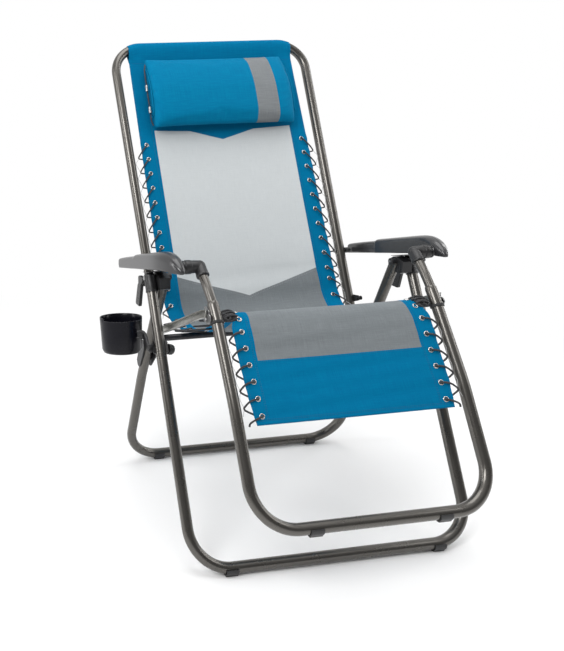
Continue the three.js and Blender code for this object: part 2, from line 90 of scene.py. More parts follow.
def make(name, verts, faces, mats, face_mats=None, uv=None, smooth=35, scaled=True):
    """verts in layout millimetres -> object in metres in the row frame."""
    me = bpy.data.meshes.new(name)
    co = np.asarray(verts, float)
    if scaled:
        co = co / 1000 + np.array([X_MID, Y_BAR, 0])
    me.from_pydata([tuple(v) for v in co], [], [tuple(f) for f in faces])
    mats = mats if isinstance(mats, (list, tuple)) else [mats]
    for m in mats:
        me.materials.append(m)
    if face_mats is not None:
        me.polygons.foreach_set("material_index", np.asarray(face_mats, np.int32))
    if uv is not None:
        layer = me.uv_layers.new(name="UVMap")
        idx = np.zeros(len(me.loops), np.int32)
        me.loops.foreach_get("vertex_index", idx)
        layer.data.foreach_set("uv", np.asarray(uv, np.float32)[idx].ravel())
    me.update()
    o = bpy.data.objects.new(name, me)
    bpy.context.scene.collection.objects.link(o)
    me.shade_smooth()
    if smooth is not None:
        me.set_sharp_from_angle(angle=math.radians(smooth))
    return o


def outward(o):
    bm = bmesh.new()
    bm.from_mesh(o.data)
    bmesh.ops.recalc_face_normals(bm, faces=bm.faces)
    bm.to_mesh(o.data)
    bm.free()
    return o


def bevel(o, width, segments=3, angle=30):
    m = o.modifiers.new("edge", "BEVEL")
    m.width = width / 1000
    m.segments = segments
    m.limit_method = "ANGLE"
    m.angle_limit = math.radians(angle)
    m.harden_normals = False
    return o


def apply_all(o):
    dg = bpy.context.evaluated_depsgraph_get()
    me = bpy.data.meshes.new_from_object(o.evaluated_get(dg), depsgraph=dg)
    o.modifiers.clear()
    o.data = me
    return o


def rounded(corners, radii, step=4):
    c = [np.array(p, float) for p in corners]
    out = [c[0]]
    for i in range(1, len(c) - 1):
        p, a, b = c[i], unit(c[i - 1] - c[i]), unit(c[i + 1] - c[i])
        r = radii[i - 1]
        half = math.acos(max(-1, min(1, a @ b))) / 2
        d = r / math.tan(half)
        o = p + unit(a + b) * r / math.sin(half)
        s, e = p + a * d - o, p + b * d - o
        tot = math.acos(max(-1, min(1, unit(s) @ unit(e))))
        n = max(3, int(round(math.degrees(tot) / step)))
        for k in range(n + 1):
            t = k / n
            out.append(o + (s * math.sin((1 - t) * tot) + e * math.sin(t * tot)) / math.sin(tot))
    out.append(c[-1])
    return np.array(out)


def frames(path, hint=None):
    p = np.asarray(path, float)
    n = len(p)
    t = np.zeros_like(p)
    for i in range(n):
        a = unit(p[i] - p[i - 1]) if i else None
        b = unit(p[i + 1] - p[i]) if i < n - 1 else None
        t[i] = unit((a if a is not None else b) + (b if b is not None else a))
    ref = np.array(hint if hint is not None else ([1, 0, 0] if abs(t[0][0]) < 0.8 else [0, 0, 1]), float)
    u = unit(ref - t[0] * (ref @ t[0]))
    us, vs = [], []
    for i in range(n):
        if i:
            ax = np.cross(t[i - 1], t[i])
            s = np.linalg.norm(ax)
            if s > 1e-9:
                ang = math.atan2(s, t[i - 1] @ t[i])
                u = np.array(Matrix.Rotation(ang, 3, Vector(ax / s)) @ Vector(u))
            u = unit(u - t[i] * (u @ t[i]))
        us.append(u)
        vs.append(np.cross(t[i], u))
    return p, t, np.array(us), np.array(vs)


def tube_data(path, radius, sides=40, hint=None, caps=True, squash=None):
    p, t, u, v = frames(path, hint)
    n = len(p)
    rad = np.broadcast_to(np.asarray(radius, float), (n,))
    ang = np.arange(sides) * 2 * math.pi / sides
    ca, sa = np.cos(ang), np.sin(ang)
    if squash is not None:
        sa = sa * squash
    vs = (p[:, None, :] + rad[:, None, None] * (ca[None, :, None] * u[:, None, :] + sa[None, :, None] * v[:, None, :])).reshape(-1, 3)
    seg = np.r_[0, np.cumsum(np.linalg.norm(np.diff(p, axis=0), axis=1))]
    uv = np.stack([np.tile(np.arange(sides) / sides, n), np.repeat(seg / 1000, sides)], 1)
    fs = []
    for i in range(n - 1):
        for k in range(sides):
            a, b = i * sides + k, i * sides + (k + 1) % sides
            fs.append((a, b, b + sides, a + sides))
    if caps:
        fs.append(tuple(range(sides))[::-1])
        fs.append(tuple((n - 1) * sides + k for k in range(sides)))
    return vs, fs, uv


def tube(name, path, radius, mat, sides=40, **kw):
    vs, fs, uv = tube_data(path, radius, sides, **kw)
    return make(name, vs, fs, mat, uv=uv)


def join_data(parts):
    vs, fs, uv, off = [], [], [], 0
    for v, f, w in parts:
        vs.append(np.asarray(v, float))
        uv.append(np.asarray(w, float) if w is not None else np.zeros((len(v), 2)))
        fs += [tuple(i + off for i in face) for face in f]
        off += len(v)
    return np.concatenate(vs), fs, np.concatenate(uv)


def mirror_data(part):
    v, f, w = part
    v = np.asarray(v, float) * np.array([-1, 1, 1])
    return v, [tuple(reversed(x)) for x in f], w


def hull(circles, n=40):
    pts = sorted((y + r * math.cos(k * 2 * math.pi / n), z + r * math.sin(k * 2 * math.pi / n)) for y, z, r in circles for k in range(n))

    def half(seq):
        h = []
        for q in seq:
            while len(h) > 1 and (h[-1][0] - h[-2][0]) * (q[1] - h[-2][1]) - (h[-1][1] - h[-2][1]) * (q[0] - h[-2][0]) <= 1e-6:
                h.pop()
            h.append(q)
        return h[:-1]

    return half(pts) + half(pts[::-1])


def prism_data(outline, x0, x1):
    n = len(outline)
    vs = [(x0, y, z) for y, z in outline] + [(x1, y, z) for y, z in outline]
    fs = [tuple(range(n))[::-1], tuple(range(n, 2 * n))] + [(k, (k + 1) % n, n + (k + 1) % n, n + k) for k in range(n)]
    return np.array(vs, float), fs, None


def lathe_data(profile, origin, axis, sides=32, hint=None):
    """profile of (radius, height) along axis; closed when it starts and ends on the axis or on itself."""
    a = unit(axis)
    ref = np.array(hint if hint is not None else ([1, 0, 0] if abs(a[0]) < 0.8 else [0, 0, 1]), float)
    u = unit(ref - a * (ref @ a))
    v = np.cross(a, u)
    o = np.array(origin, float)
    ang = np.arange(sides) * 2 * math.pi / sides
    vs, rings = [], []
    for r, h in profile:
        if r < 1e-6:
            rings.append([len(vs)])
            vs.append(o + a * h)
        else:
            rings.append(list(range(len(vs), len(vs) + sides)))
            for t in ang:
                vs.append(o + a * h + r * (math.cos(t) * u + math.sin(t) * v))
    fs = []
    for i in range(len(rings) - 1):
        p, q = rings[i], rings[i + 1]
        for k in range(sides):
            j = (k + 1) % sides
            if len(p) == 1 and len(q) == 1:
                continue
            if len(p) == 1:
                fs.append((p[0], q[j], q[k]))
            elif len(q) == 1:
                fs.append((p[k], p[j], q[0]))
            else:
                fs.append((p[k], p[j], q[j], q[k]))
    closed = len(rings[0]) > 1
    if closed:
        p, q = rings[-1], rings[0]
        for k in range(sides):
            j = (k + 1) % sides
            fs.append((p[k], p[j], q[j], q[k]))
    return np.array(vs), fs, None


def resample(poly, step):
    p = np.asarray(poly, float)
    d = np.r_[0, np.cumsum(np.linalg.norm(np.diff(p, axis=0), axis=1))]
    n = max(2, int(round(d[-1] / step)) + 1)
    s = np.linspace(0, d[-1], n)
    return np.stack([np.interp(s, d, p[:, i]) for i in range(p.shape[1])], 1)


def spline(points, step=6):
    """Catmull-Rom through points, evenly resampled."""
    p = np.asarray(points, float)
    q = np.vstack([2 * p[0] - p[1], p, 2 * p[-1] - p[-2]])
    out = []
    for i in range(1, len(q) - 2):
        a, b, c, d = q[i - 1], q[i], q[i + 1], q[i + 2]
        for t in np.linspace(0, 1, 12, endpoint=False):
            out.append(0.5 * ((2 * b) + (c - a) * t + (2 * a - 5 * b + 4 * c - d) * t * t + (3 * b - a - 3 * c + d) * t ** 3))
    out.append(q[-2])
    return resample(out, step)


# ---------------------------------------------------------------- materials
class Mat:
    def __init__(self, name):
        self.m = bpy.data.materials.new(name)
        self.m.use_nodes = True
        self.t = self.m.node_tree
        self.b = next(n for n in self.t.nodes if n.type == "BSDF_PRINCIPLED")

    def node(self, kind, **props):
        n = self.t.nodes.new(kind)
        for k, v in props.items():
            if k in n.inputs.keys():
                n.inputs[k].default_value = v
            else:
                setattr(n, k, v)
        return n

    def link(self, a, b):
        self.t.links.new(a, b)

    def set(self, **kw):
        for k, v in kw.items():
            self.b.inputs[k.replace("_", " ")].default_value = v

    def coord(self, kind="Object", scale=(1, 1, 1)):
        c = self.node("ShaderNodeTexCoord")
        m = self.node("ShaderNodeMapping")
        m.inputs["Scale"].default_value = scale
        self.link(c.outputs[kind], m.inputs["Vector"])
        return m.outputs["Vector"]

    def noise(self, vec, scale, detail=4.0, rough=0.55, dist=0.0):
        n = self.node("ShaderNodeTexNoise")
        n.inputs["Scale"].default_value = scale
        n.inputs["Detail"].default_value = detail
        n.inputs["Roughness"].default_value = rough
        n.inputs["Distortion"].default_value = dist
        self.link(vec, n.inputs["Vector"])
        return n.outputs["Fac"]

    def math(self, op, a, b=None, clamp=False):
        n = self.node("ShaderNodeMath", operation=op)
        n.use_clamp = clamp
        for i, x in enumerate((a, b)):
            if x is None:
                continue
            if isinstance(x, (int, float)):
                n.inputs[i].default_value = x
            else:
                self.link(x, n.inputs[i])
        return n.outputs[0]

    def ramp(self, fac, stops):
        n = self.node("ShaderNodeValToRGB")
        e = n.color_ramp.elements
        while len(e) < len(stops):
            e.new(0.5)
        for el, (pos, col) in zip(e, stops):
            el.position = pos
            el.color = (*col, 1) if len(col) == 3 else col
        self.link(fac, n.inputs["Fac"])
        return n.outputs["Color"]

    def mix(self, fac, a, b, blend="MIX"):
        n = self.node("ShaderNodeMix", data_type="RGBA", blend_type=blend)
        for sock, x in ((n.inputs[0], fac), (n.inputs[6], a), (n.inputs[7], b)):
            if isinstance(x, (int, float)):
                sock.default_value = x
            elif isinstance(x, tuple):
                sock.default_value = (*x, 1) if len(x) == 3 else x
            else:
                self.link(x, sock)
        return n.outputs[2]

    def bump(self, height, strength, distance):
        n = self.node("ShaderNodeBump")
        n.inputs["Strength"].default_value = strength
        n.inputs["Distance"].default_value = distance
        self.link(height, n.inputs["Height"])
        self.link(n.outputs["Normal"], self.b.inputs["Normal"])
        return n

    def rough(self, fac, lo, hi):
        n = self.node("ShaderNodeMapRange")
        n.inputs["To Min"].default_value = lo
        n.inputs["To Max"].default_value = hi
        self.link(fac, n.inputs["Value"])
        self.link(n.outputs["Result"], self.b.inputs["Roughness"])


def tube_paint():
    m = Mat("tube_paint")
    v = m.coord("Object")
    flake = m.noise(v, 3200, 2, 0.6)
    cloud = m.noise(v, 5, 2, 0.5)
    col = m.mix(m.math("MULTIPLY", flake, 0.3), (0.105, 0.099, 0.09), (0.17, 0.16, 0.146))
    col = m.mix(m.math("MULTIPLY", cloud, 0.2), col, (0.08, 0.075, 0.07))
    m.link(col, m.b.inputs["Base Color"])
    m.rough(m.noise(v, 30, 2, 0.5), 0.25, 0.31)
    m.bump(m.noise(v, 1200, 2, 0.5), 0.03, 0.00004)
    m.set(Metallic=0.82, Coat_Weight=0.3, Coat_Roughness=0.16)
    return m.m


def plastic(name, base, light, rlo, rhi, grain=2200, gs=0.22, coat=0.0, metallic=0.0, spec=0.5):
    m = Mat(name)
    v = m.coord("Object")
    g = m.noise(v, grain, 3, 0.6)
    wear = m.noise(v, 34, 6, 0.62)
    col = m.mix(m.ramp(wear, [(0.45, (0, 0, 0)), (0.75, (0.8, 0.8, 0.8))]), base, light)
    m.link(col, m.b.inputs["Base Color"])
    m.rough(wear, rlo, rhi)
    m.bump(g, gs, 0.0004)
    m.set(Metallic=metallic, Coat_Weight=coat, Coat_Roughness=0.08, Specular_IOR_Level=spec)
    return m.m


def steel(name, base, dark, rlo, rhi, brush=(900, 30, 900), metallic=1.0):
    m = Mat(name)
    v = m.coord("Object", brush)
    line = m.noise(v, 1.0, 4, 0.6)
    spot = m.noise(m.coord("Object"), 60, 4, 0.6)
    col = m.mix(m.ramp(spot, [(0.4, (0, 0, 0)), (0.8, (1, 1, 1))]), base, dark)
    m.link(col, m.b.inputs["Base Color"])
    m.rough(line, rlo, rhi)
    m.bump(line, 0.08, 0.0002)
    m.set(Metallic=metallic)
    return m.m


def fabric(name, base, light, dark, pitch=1.5, bump=0.4, melange=0.35, rough=(0.72, 0.92), sheen=0.25, band=0.0, spec=0.1):
    """A plain weave in the piece's UV, which is in metres across and along the cloth."""
    m = Mat(name)
    c = m.node("ShaderNodeTexCoord")
    sep = m.node("ShaderNodeSeparateXYZ")
    m.link(c.outputs["UV"], sep.inputs[0])
    k = 2 * math.pi / (pitch / 1000)
    su = m.math("SINE", m.math("MULTIPLY", sep.outputs[0], k / 2))
    sv = m.math("SINE", m.math("MULTIPLY", sep.outputs[1], k / 2))
    prod = m.math("MULTIPLY", su, sv)
    over = m.math("GREATER_THAN", prod, 0.0)
    au, av = m.math("ABSOLUTE", su), m.math("ABSOLUTE", sv)
    h1 = m.math("MULTIPLY", over, au)
    h2 = m.math("MULTIPLY", m.math("SUBTRACT", 1.0, over), av)
    yarn = m.math("ADD", h1, h2)

    def streak(sx, sy, detail=3):
        mp = m.node("ShaderNodeMapping")
        mp.inputs["Scale"].default_value = (sx, sy, 1)
        m.link(c.outputs["UV"], mp.inputs["Vector"])
        return m.noise(mp.outputs["Vector"], 1.0, detail, 0.6)

    warp, weft = streak(700, 28), streak(24, 700)
    mel = m.math("MULTIPLY", m.math("ADD", warp, weft), 0.5)
    tone = m.ramp(mel, [(0.36, dark), (0.5, base), (0.66, light)])
    col = m.mix(melange, base, tone)
    cloud = streak(9, 9, 3)
    col = m.mix(m.math("MULTIPLY", cloud, 0.25), col, dark)
    # painted shade: the colour darkens where the weave is low, in the recesses between the yarns
    col = m.mix(m.math("MULTIPLY", m.math("SUBTRACT", 1.0, yarn, True), 0.55), col, dark)
    m.link(col, m.b.inputs["Base Color"])
    m.rough(weft, *rough)
    wrinkle = streak(5, 22, 2)
    height = m.math("ADD", m.math("MULTIPLY", yarn, 0.5), m.math("ADD", m.math("MULTIPLY", mel, 0.4), m.math("MULTIPLY", wrinkle, band)))
    m.bump(height, bump, 0.0007)
    m.set(Sheen_Weight=sheen, Sheen_Roughness=0.45, Specular_IOR_Level=spec)
    return m.m


def cord_mat(name, base, light):
    m = Mat(name)
    c = m.node("ShaderNodeTexCoord")
    sep = m.node("ShaderNodeSeparateXYZ")
    m.link(c.outputs["UV"], sep.inputs[0])
    a = m.math("MULTIPLY", sep.outputs[0], 6 * 2 * math.pi)
    b = m.math("MULTIPLY", sep.outputs[1], 2 * math.pi / 0.004)
    braid = m.math("MULTIPLY", m.math("SINE", m.math("ADD", a, b)), m.math("SINE", m.math("SUBTRACT", a, b)))
    f = m.math("ADD", m.math("MULTIPLY", braid, 0.5), 0.5)
    # painted light and shade: the colour follows the braid's relief, lighter on the raised strands and darker in the
    # grooves
    m.link(m.mix(f, base, light), m.b.inputs["Base Color"])
    m.rough(f, 0.5, 0.8)
    m.bump(f, 0.5, 0.0005)
    m.set(Sheen_Weight=0.15)
    return m.m


PAINT = tube_paint()
BLACK = plastic("black_moulded_plastic", (0.01, 0.01, 0.011), (0.026, 0.026, 0.028), 0.3, 0.5, gs=0.12)
ARM_PLASTIC = plastic("armrest_plastic", (0.022, 0.022, 0.024), (0.028, 0.028, 0.03), 0.26, 0.32, grain=900, gs=0.0, coat=0.3)
CUP_PLASTIC = plastic("cup_gloss_plastic", (0.004, 0.004, 0.007), (0.007, 0.007, 0.011), 0.2, 0.28, gs=0.0, coat=0.0, spec=0.22)
RUBBER = plastic("black_rubber", (0.012, 0.012, 0.013), (0.03, 0.03, 0.03), 0.55, 0.8, gs=0.3)
RAIL = steel("zinc_rail", (0.4, 0.4, 0.375), (0.25, 0.25, 0.235), 0.22, 0.38)
BOLT = steel("bolt_steel", (0.42, 0.42, 0.42), (0.2, 0.2, 0.2), 0.25, 0.45, brush=(700, 700, 700))
DARK = plastic("dark_painted_steel", (0.03, 0.03, 0.032), (0.07, 0.07, 0.072), 0.3, 0.5, metallic=0.55)
EYELET = steel("nickel_eyelet", (0.62, 0.61, 0.59), (0.4, 0.39, 0.37), 0.16, 0.3, brush=(400, 400, 400))
BLUE = fabric("blue_sling_fabric", (0.0, 0.16, 0.326), (0.0, 0.238, 0.41), (0.0, 0.108, 0.238), melange=0.45, band=0.8, sheen=0.0, spec=0.04)
BLUE_PAD = fabric("blue_pillow_fabric", (0.0, 0.176, 0.338), (0.003, 0.262, 0.43), (0.0, 0.116, 0.246), melange=0.5, band=0.2, sheen=0.01, spec=0.05)
GREY = fabric("grey_sling_fabric", (0.198, 0.22, 0.232), (0.29, 0.315, 0.325), (0.13, 0.142, 0.15), melange=0.45, band=0.9, sheen=0.05)
GREY_BAND = fabric("grey_band_fabric", (0.2, 0.215, 0.225), (0.3, 0.31, 0.32), (0.14, 0.15, 0.155), melange=0.45, band=0.1, sheen=0.05)
MESH = fabric("pale_mesh_fabric", (0.575, 0.605, 0.615), (0.66, 0.685, 0.69), (0.46, 0.485, 0.495), pitch=1.9, melange=0.4, band=0.5, sheen=0.04)
CORD = cord_mat("black_elastic_cord", (0.008, 0.008, 0.01), (0.03, 0.03, 0.034))
LINE = cord_mat("pale_lacing_line", (0.3, 0.31, 0.32), (0.5, 0.5, 0.5))
THREAD_BLUE = plastic("blue_thread", (0.002, 0.085, 0.2), (0.004, 0.13, 0.28), 0.6, 0.8)
THREAD_GREY = plastic("grey_thread", (0.3, 0.31, 0.32), (0.4, 0.41, 0.42), 0.6, 0.8)

# ---------------------------------------------------------------- CAD nodes that stay
KEEP = {
    "apex_bolt": (BOLT, 0.7), "rear_leg_bracket": (DARK, 0.8), "knee_lug": (BOLT, 0),
    "back_pivot_bolt": (DARK, 0.4), "arm_bushing": (BLACK, 0.8), "arm_bolt": (BOLT, 0.7), "slider_shoe": (BLACK, 0.4),
}
for stem, (material, width) in KEEP.items():
    for side in ("_right", "_left"):
        o = nodes[stem + side]
        o.data.materials.clear()
        o.data.materials.append(material)
        o.data.shade_smooth()
        o.data.set_sharp_from_angle(angle=math.radians(30))
        if width:
            bevel(o, width, 2)


def stand(o, body, slot, *replaced):
    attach(o, body)
    if replaced:
        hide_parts(*replaced)
    return o


# ---------------------------------------------------------------- tubes
def mx(p):
    return (-p[0], p[1], p[2])


FRONT_W, FRONT_TOP_W = 329.6, 336.6
f_top = np.array([FRONT_TOP_W, *APEX])
f_dir = unit(f_top - np.array([FRONT_W, 0, Z_BAR]))
f_end = f_top + f_dir * 10
front = rounded([mx(f_end), (-FRONT_W, 0, Z_BAR), (FRONT_W, 0, Z_BAR), f_end], [90, 90])


def domed(path, r, back=5, n=4):
    """A path and radii with both tube ends rounded over."""
    p = np.asarray(path, float)
    d0, d1 = unit(p[0] - p[1]), unit(p[-1] - p[-2])
    ends0 = [p[0] + d0 * (-back + back * math.sin(k / n * math.pi / 2)) for k in range(n + 1)]
    ends1 = [p[-1] + d1 * (-back + back * math.sin(k / n * math.pi / 2)) for k in range(n + 1)]
    rr = [r - back + back * math.cos(k / n * math.pi / 2) for k in range(n + 1)]
    return np.array(ends0[::-1] + list(p[1:-1]) + ends1), np.array(rr[::-1] + [r] * (len(p) - 2) + rr)


pts, rad = domed(front, R, 7)
stand(tube("front_leg_frame", pts, rad, PAINT, 48), "front_legs", "frame_tube", "front_leg_tube")

r_top = np.array([299.0, *APEX])
r_bend = np.array([308.0, 424.0, 300.0])
r_end = r_top + unit(r_top - r_bend) * 1
rear_corners = [mx(r_end), mx(r_bend), (-319, 517, Z_BAR), (319, 517, Z_BAR), r_bend, r_end]
rear = rounded(rear_corners, [220, 90, 90, 220])
pts, rad = domed(rear, R, 5)
stand(tube("rear_leg_frame", pts, rad, PAINT, 48), "rear_legs", "frame_tube", "rear_leg_tube")

axle = [(-291, *SEAT_AXLE), (291, *SEAT_AXLE)]
pts, rad = domed(axle, 8, 1.5)
stand(tube("seat_cross_tube", pts, rad, DARK, 32), "rear_legs", "dark_steel", "seat_axle_tube")

back = rounded([(-back_w(437), back_y(437), 437), (-289, *TOP), (289, *TOP), (back_w(437), back_y(437), 437)], [78, 78])
pts, rad = domed(back, R, 5)
stand(tube("back_frame", pts, rad, PAINT, 48), "back", "frame_tube", "back_frame_tube")

# the footrest frame: a wide lower hoop with swaged ends, and thinner upper tubes pushed into it
knee_end = (257.5, 78.5, 557.5)
swage = (257.7, 97.0, 582.5)
foot_corners = [mx(swage), mx(knee_end), (-259, -20, 408), (-259, -138.5, 188.4), (259, -138.5, 188.4), (259, -20, 408), knee_end, swage]
foot = rounded(foot_corners, [300, 500, 90, 90, 500, 300])
n_end = 5
d1 = unit(foot[-1] - foot[-2])
tail = [foot[-1] + d1 * t for t in (3, 6, 8, 8.6)]
tail_r = [12.4, 11.8, 11.2, 10.5]
head = [np.array(mx(t)) for t in tail[::-1]]
fp = np.array(head + list(foot) + tail)
fr = np.array(tail_r[::-1] + [R] * len(foot) + tail_r)
stand(tube("footrest_frame", fp, fr, PAINT, 48), "footrest", "frame_tube", "footrest_tube")
upper = rounded([(257.6, 84, 566), (258.0, 100, 588), (259.4, 124, 613), (261.6, *ARM_FRONT)], [160, 160], 3)
for side, s in (("right", 1), ("left", -1)):
    u = upper * np.array([s, 1, 1])
    stand(tube("footrest_upper_rod_" + side, u, 10.3, PAINT, 40), "footrest", "frame_tube", "footrest_upper_tube_" + side)
    # knee ring: a narrow band round the tube where the rail's lug is fixed
    c = np.array([s * 257.5, 74.6, 551.6])
    ax = unit([0, 0.555, 0.832])
    prof = [(12.55, -3.4), (14.2, -3.2), (14.75, -2.2), (14.75, 2.2), (14.2, 3.2), (12.55, 3.4)]
    o = make("knee_band_" + side, *lathe_data(prof, c, ax, 48)[:2], RUBBER)
    stand(outward(o), "footrest", "black_rubber", "knee_ring_" + side)


# ---------------------------------------------------------------- clips under the bars
def clip_piece(name, x, y, z, body, node):
    n = 28
    a0 = math.radians(18)
    out = []
    for k in range(n + 1):
        a = a0 - k * (math.pi + 2 * a0) / n
        out.append((15.5 * math.cos(a), 15.5 * math.sin(a)))
    out = [(u, max(v, -15.5)) for u, v in out]
    flat = [q for q in out if q[1] > -13.2]
    left = [q for q in flat if q[0] > 0]
    right = [q for q in flat if q[0] < 0]
    inner = [(12.62 * math.cos(math.pi - a0 + k * (math.pi + 2 * a0) / n), 12.62 * math.sin(math.pi - a0 + k * (math.pi + 2 * a0) / n)) for k in range(n + 1)]
    ring = left + [(8.8, -15.5), (-8.8, -15.5)] + right + inner
    outline = [(y + u, z + v) for u, v in ring]
    parts = [prism_data(outline, x - 14.3, x + 14.3)]
    o = make(name, *join_data(parts)[:2], BLACK)
    outward(o)
    bevel(o, 1.1, 3)
    stand(o, body, "black_plastic", node)


for side, s in (("right", 1), ("left", -1)):
    clip_piece("front_bar_clip_" + side, s * 246, 0, Z_BAR, "front_legs", "floor_clip_front_" + side)
    clip_piece("rear_bar_clip_" + side, s * 228, 517, Z_BAR, "rear_legs", "floor_clip_rear_" + side)
    clip_piece("footrest_bar_clip_" + side, s * 139, -138.5, 188.4, "footrest", "footrest_clip_" + side)

# ---------------------------------------------------------------- elbows, housings, levers
for side, s in (("right", 1), ("left", -1)):
    end = np.array([261.6, *ARM_FRONT])
    d = unit(upper[-1] - upper[-2])
    socket = lathe_data([(0, -27.5), (12.6, -27.5), (14.3, -26.9), (14.6, -26), (14.6, -21.5), (14.1, -20.6), (13.7, -20), (13.7, 0), (13.4, 0.5), (0, 0.5)], end, d, 44)
    neck = lathe_data([(0, -0.5), (13.4, -0.5), (13.7, 0), (14.4, 12), (14.6, 20.6), (15.6, 21.4), (15.9, 22.4), (15.9, 33.6), (15.6, 34.6), (14.2, 35.2), (14.2, 37.0), (13.4, 37.4), (0, 37.4)], end, (1, 0, 0), 44)
    ball = lathe_data([(13.75 * math.sin(k * math.pi / 24), -13.75 * math.cos(k * math.pi / 24)) for k in range(25)], end, unit(d - np.array([1, 0, 0])), 44)
    web = prism_data(hull([(end[1] - 6, end[2] - 9, 2.0), (end[1] + 4, end[2] - 12, 2.0), (end[1], end[2], 2.0)], 16), 262, 281)
    vs, fs, uv = join_data([socket, neck, ball, web])
    if s < 0:
        vs, fs, uv = mirror_data((vs, fs, uv))
    o = make("elbow_" + side, vs, fs, BLACK)
    outward(o)
    bevel(o, 0.5, 2, 50)
    stand(o, "footrest", "black_plastic", "elbow_cap_" + side)

    # lock housing
    hp = [(-31, -22), (-31, 5.0), (-12, 10.0), (0, 11.4), (7, 10.4), (18, 3.0), (23, -4), (24, -14), (20, -27), (12, -27), (-22, -27)]
    outline = [(APEX[0] + a, APEX[1] + b) for a, b in hp]
    parts = [prism_data(outline, 296.4, 322.6)]
    for q in (-25, -17, -9):
        parts.append(prism_data([(APEX[0] + q, APEX[1] - 23), (APEX[0] + q + 2.6, APEX[1] - 23), (APEX[0] + q + 2.6, APEX[1] + 3.5), (APEX[0] + q, APEX[1] + 3)], 295.6, 323.2))
    parts.append(prism_data(hull([(APEX[0], APEX[1], 8.6)], 36), 284.8, 323.1))
    # the plate out to the lever's pivot and the guard round it
    parts.append(prism_data(hull([(APEX[0] + 8, APEX[1] - 12, 8), (*LEVER, 10.5)], 36), 316.5, 323.0))
    parts.append(lathe_data([(7.4, 0), (11.6, 0), (12.0, 0.8), (12.0, 17.0), (11.2, 17.8), (7.4, 17.8)], (322.8, *LEVER), (1, 0, 0), 40))
    # guard plate behind the lever's head
    parts.append(prism_data(hull([(APEX[0] + 20, APEX[1] - 3, 3.2), (LEVER[0] + 8, LEVER[1] + 7, 3.2), (LEVER[0] - 8, LEVER[1] + 12, 3.2)], 20), 323.6, 339.8))
    o = make("lock_housing_shell_" + side, *join_data([p if s > 0 else mirror_data(p) for p in parts])[:2], BLACK)
    bevel(outward(o), 1.2, 3)
    stand(o, "rear_legs", "black_plastic", "lock_housing_" + side)

    # black cap over the top of the front leg
    tip = np.array([FRONT_TOP_W, *APEX])
    cap = [(12.55, -35)] + [(14.0, -35), (14.5, -34.4), (14.5, -31), (14.1, -30.4), (14.1, 1.5)]
    cap += [(14.2 * math.cos(k * math.pi / 24), 1.5 + 12.4 * math.sin(k * math.pi / 24)) for k in range(1, 12)] + [(0, 13.9)]
    cap += [(0, 12.5)] + [(12.55 * math.cos(k * math.pi / 24), 1.5 + 11.0 * math.sin(k * math.pi / 24)) for k in range(11, 0, -1)] + [(12.55, 1.5)]
    part = lathe_data(cap, tip, f_dir, 44)
    o = make("front_leg_cap_" + side, *join_data([part if s > 0 else mirror_data(part)])[:2], BLACK)
    outward(o)
    stand(o, "front_legs", "black_plastic")

    # lock lever: a dished paddle with thumb ridges
    paddle = hull([(*LEVER, 7), (APEX[0] + 52, APEX[1] - 34, 5), (APEX[0] + 66, APEX[1] - 80, 5), (APEX[0] + 48, APEX[1] - 80, 5)])
    parts = [prism_data(paddle, 341.4, 349.0), prism_data(hull([(LEVER[0] - 11, LEVER[1] + 8, 7.2), (LEVER[0] + 8, LEVER[1] + 6, 7), (LEVER[0] + 8, LEVER[1] - 12, 6)]), 341.2, 349.4)]
    for k in range(4):
        zz = APEX[1] - 52 - 7 * k
        yy = APEX[0] + 48 + 1.2 * k
        parts.append(prism_data(hull([(yy, zz, 1.2), (yy + 13, zz, 1.2)], 16), 340.9, 349.6))
    shaft = lathe_data([(0, 0), (4, 0), (4, 7.6), (6.9, 8.0), (6.9, 25), (0, 25)], (316.8, *LEVER), (1, 0, 0), 32)
    parts.append(shaft)
    o = make("lock_lever_paddle_" + side, *join_data([p if s > 0 else mirror_data(p) for p in parts])[:2], BLACK)
    bevel(outward(o), 1.3, 3, 40)
    stand(o, "lever_" + side, "black_plastic", "lock_lever_" + side)

